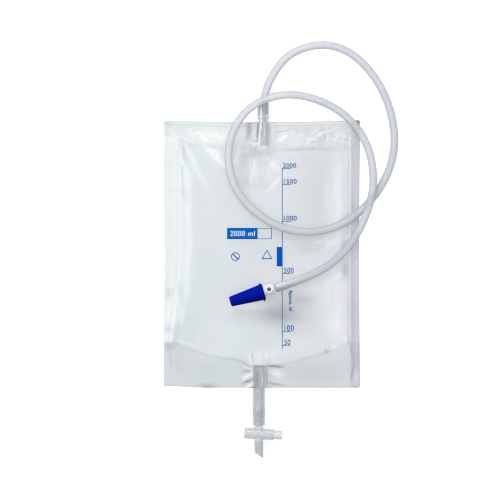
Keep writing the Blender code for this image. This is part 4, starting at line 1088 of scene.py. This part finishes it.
block = turned("connector_block", [
    (BLOCK_START, 0, 0), (BLOCK_START, BLOCK_RADIUS - 0.1, 0.6),
    (FLANGE_START + 0.5, BLOCK_RADIUS, 0.8), (FLANGE_START + 0.5, 0, 0),
], CONNECTOR + across * BLOCK_OFFSET, CONNECTOR_AXIS, white_material, sides=96, looped=False)
port_axis = across * math.sin(SAMPLE_ROLL) + np.array([0, 0, 1]) * math.cos(SAMPLE_ROLL)
sample_base = CONNECTOR + CONNECTOR_AXIS * SAMPLE_ALONG
crown = BLOCK_RADIUS + 0.5
profile = rounded([
    (BOSS_FOOT, SEPTUM_RADIUS + SEPTUM_ROOM, 0), (crown, SEPTUM_RADIUS + SEPTUM_ROOM, 0.25),
    (crown, BOSS_RADIUS, 0.5), (BLOCK_RADIUS - 0.4, BOSS_RADIUS + BOSS_FLARE, 0.6),
    (BOSS_FOOT, BOSS_RADIUS + BOSS_FLARE, 0),
])
points = ring_points(profile, sample_base, port_axis, 64, CONNECTOR_AXIS)
boss = surface("sample_boss", points, white_material, around=True, looped=True)
connector = joined("connector_moulding", [connector, block, boss])
fit(connector, "bag", "white_moulding", "catheter_connector")

rubber_material, start = new_material("septum_rubber", {"Specular IOR Level": 0.35})
grain = start.noise(1500.0, 3.0)
grain.mix((0.035, 0.05, 0.035, 1.0), (0.13, 0.15, 0.12, 1.0)).into("Base Color")
(0.55 + grain * 0.3).into("Roughness")
grain.bump(0.5, 0.0001)
top = crown - 0.3
profile = rounded([
    (top - 3.0, 0, 0), (top - 3.0, SEPTUM_RADIUS, 0.2), (top, SEPTUM_RADIUS, 0.35),
    (top + 0.1, 0.6, 0.3), (top + 0.1, 0, 0),
])
points = ring_points(profile, sample_base, port_axis, 48, CONNECTOR_AXIS)
septum = surface("septum_disc", points, rubber_material, around=True)
fit(septum, "bag", "rubber", "sampling_septum")

# Protective cap: a blue tapered cup, closed at its tip, with a thin rim at its mouth. It is
# pushed over the nozzle and pulls straight off.
CAP_LENGTH, CAP_TIP, CAP_MOUTH, CAP_WALL, CAP_RIM = 34.0, 5.1, 8.1, 1.0, 9.5
CAP_DIMPLE = 2.6
CAP_PAINTED_SHADE = 76.0  # how fast the painted shade turns the blue from deep to bright across the cap, for each metre

blue_material, start = new_material("blue_moulding", {"Specular IOR Level": 0.02})
cloud = start.noise(70.0, 4.0)
pits = start.noise(1300.0, 3.0)
# Painted shade: the blue is deeper on the cap's flank towards the bag's foot and brighter on its far
# flank, as light falls on it from the far side. The cloud adds random tone.
vectors = {0: start.place(), 1: tuple(across)}
side = start.node("VectorMath", {"operation": "DOT_PRODUCT"}, vectors, output="Value")
side = (side * CAP_PAINTED_SHADE + (0.5 - CAP_PAINTED_SHADE * MM * float(CONNECTOR @ across))).clamped()
(side * 0.8 + cloud * 0.3 - 0.05).mix((0.0, 0.003, 0.15, 1.0), (0.0, 0.010, 0.43, 1.0)).into("Base Color")
(0.3 + pits * 0.2).into("Roughness")
pits.bump(0.35, 0.00012)
cap = turned("connector_cap", [
    (-CAP_LENGTH, 0, 0), (-CAP_LENGTH, CAP_DIMPLE, 0.2), (-CAP_LENGTH + 0.35, CAP_DIMPLE + 0.3, 0.2),
    (-CAP_LENGTH + 0.2, CAP_TIP - 0.2, 0.9), (-CAP_LENGTH + 1.2, CAP_TIP + 0.1, 0.4),
    (-1.2, CAP_MOUTH, 0.7), (-0.8, CAP_RIM, 0.3), (-0.1, CAP_RIM, 0.3), (0.8, CAP_RIM - 0.5, 0.5),
    (1.5, CAP_MOUTH, 0.5), (2.1, CAP_MOUTH - CAP_WALL, 0.3),
    (-CAP_LENGTH + CAP_WALL, CAP_TIP - CAP_WALL, 0.8), (-CAP_LENGTH + CAP_WALL, 0, 0),
], CONNECTOR, CONNECTOR_AXIS, blue_material, sides=96)
fit(cap, "cap", "blue_moulding", "protective_cap")
tube_length * MM
(middle * MM).tolist()
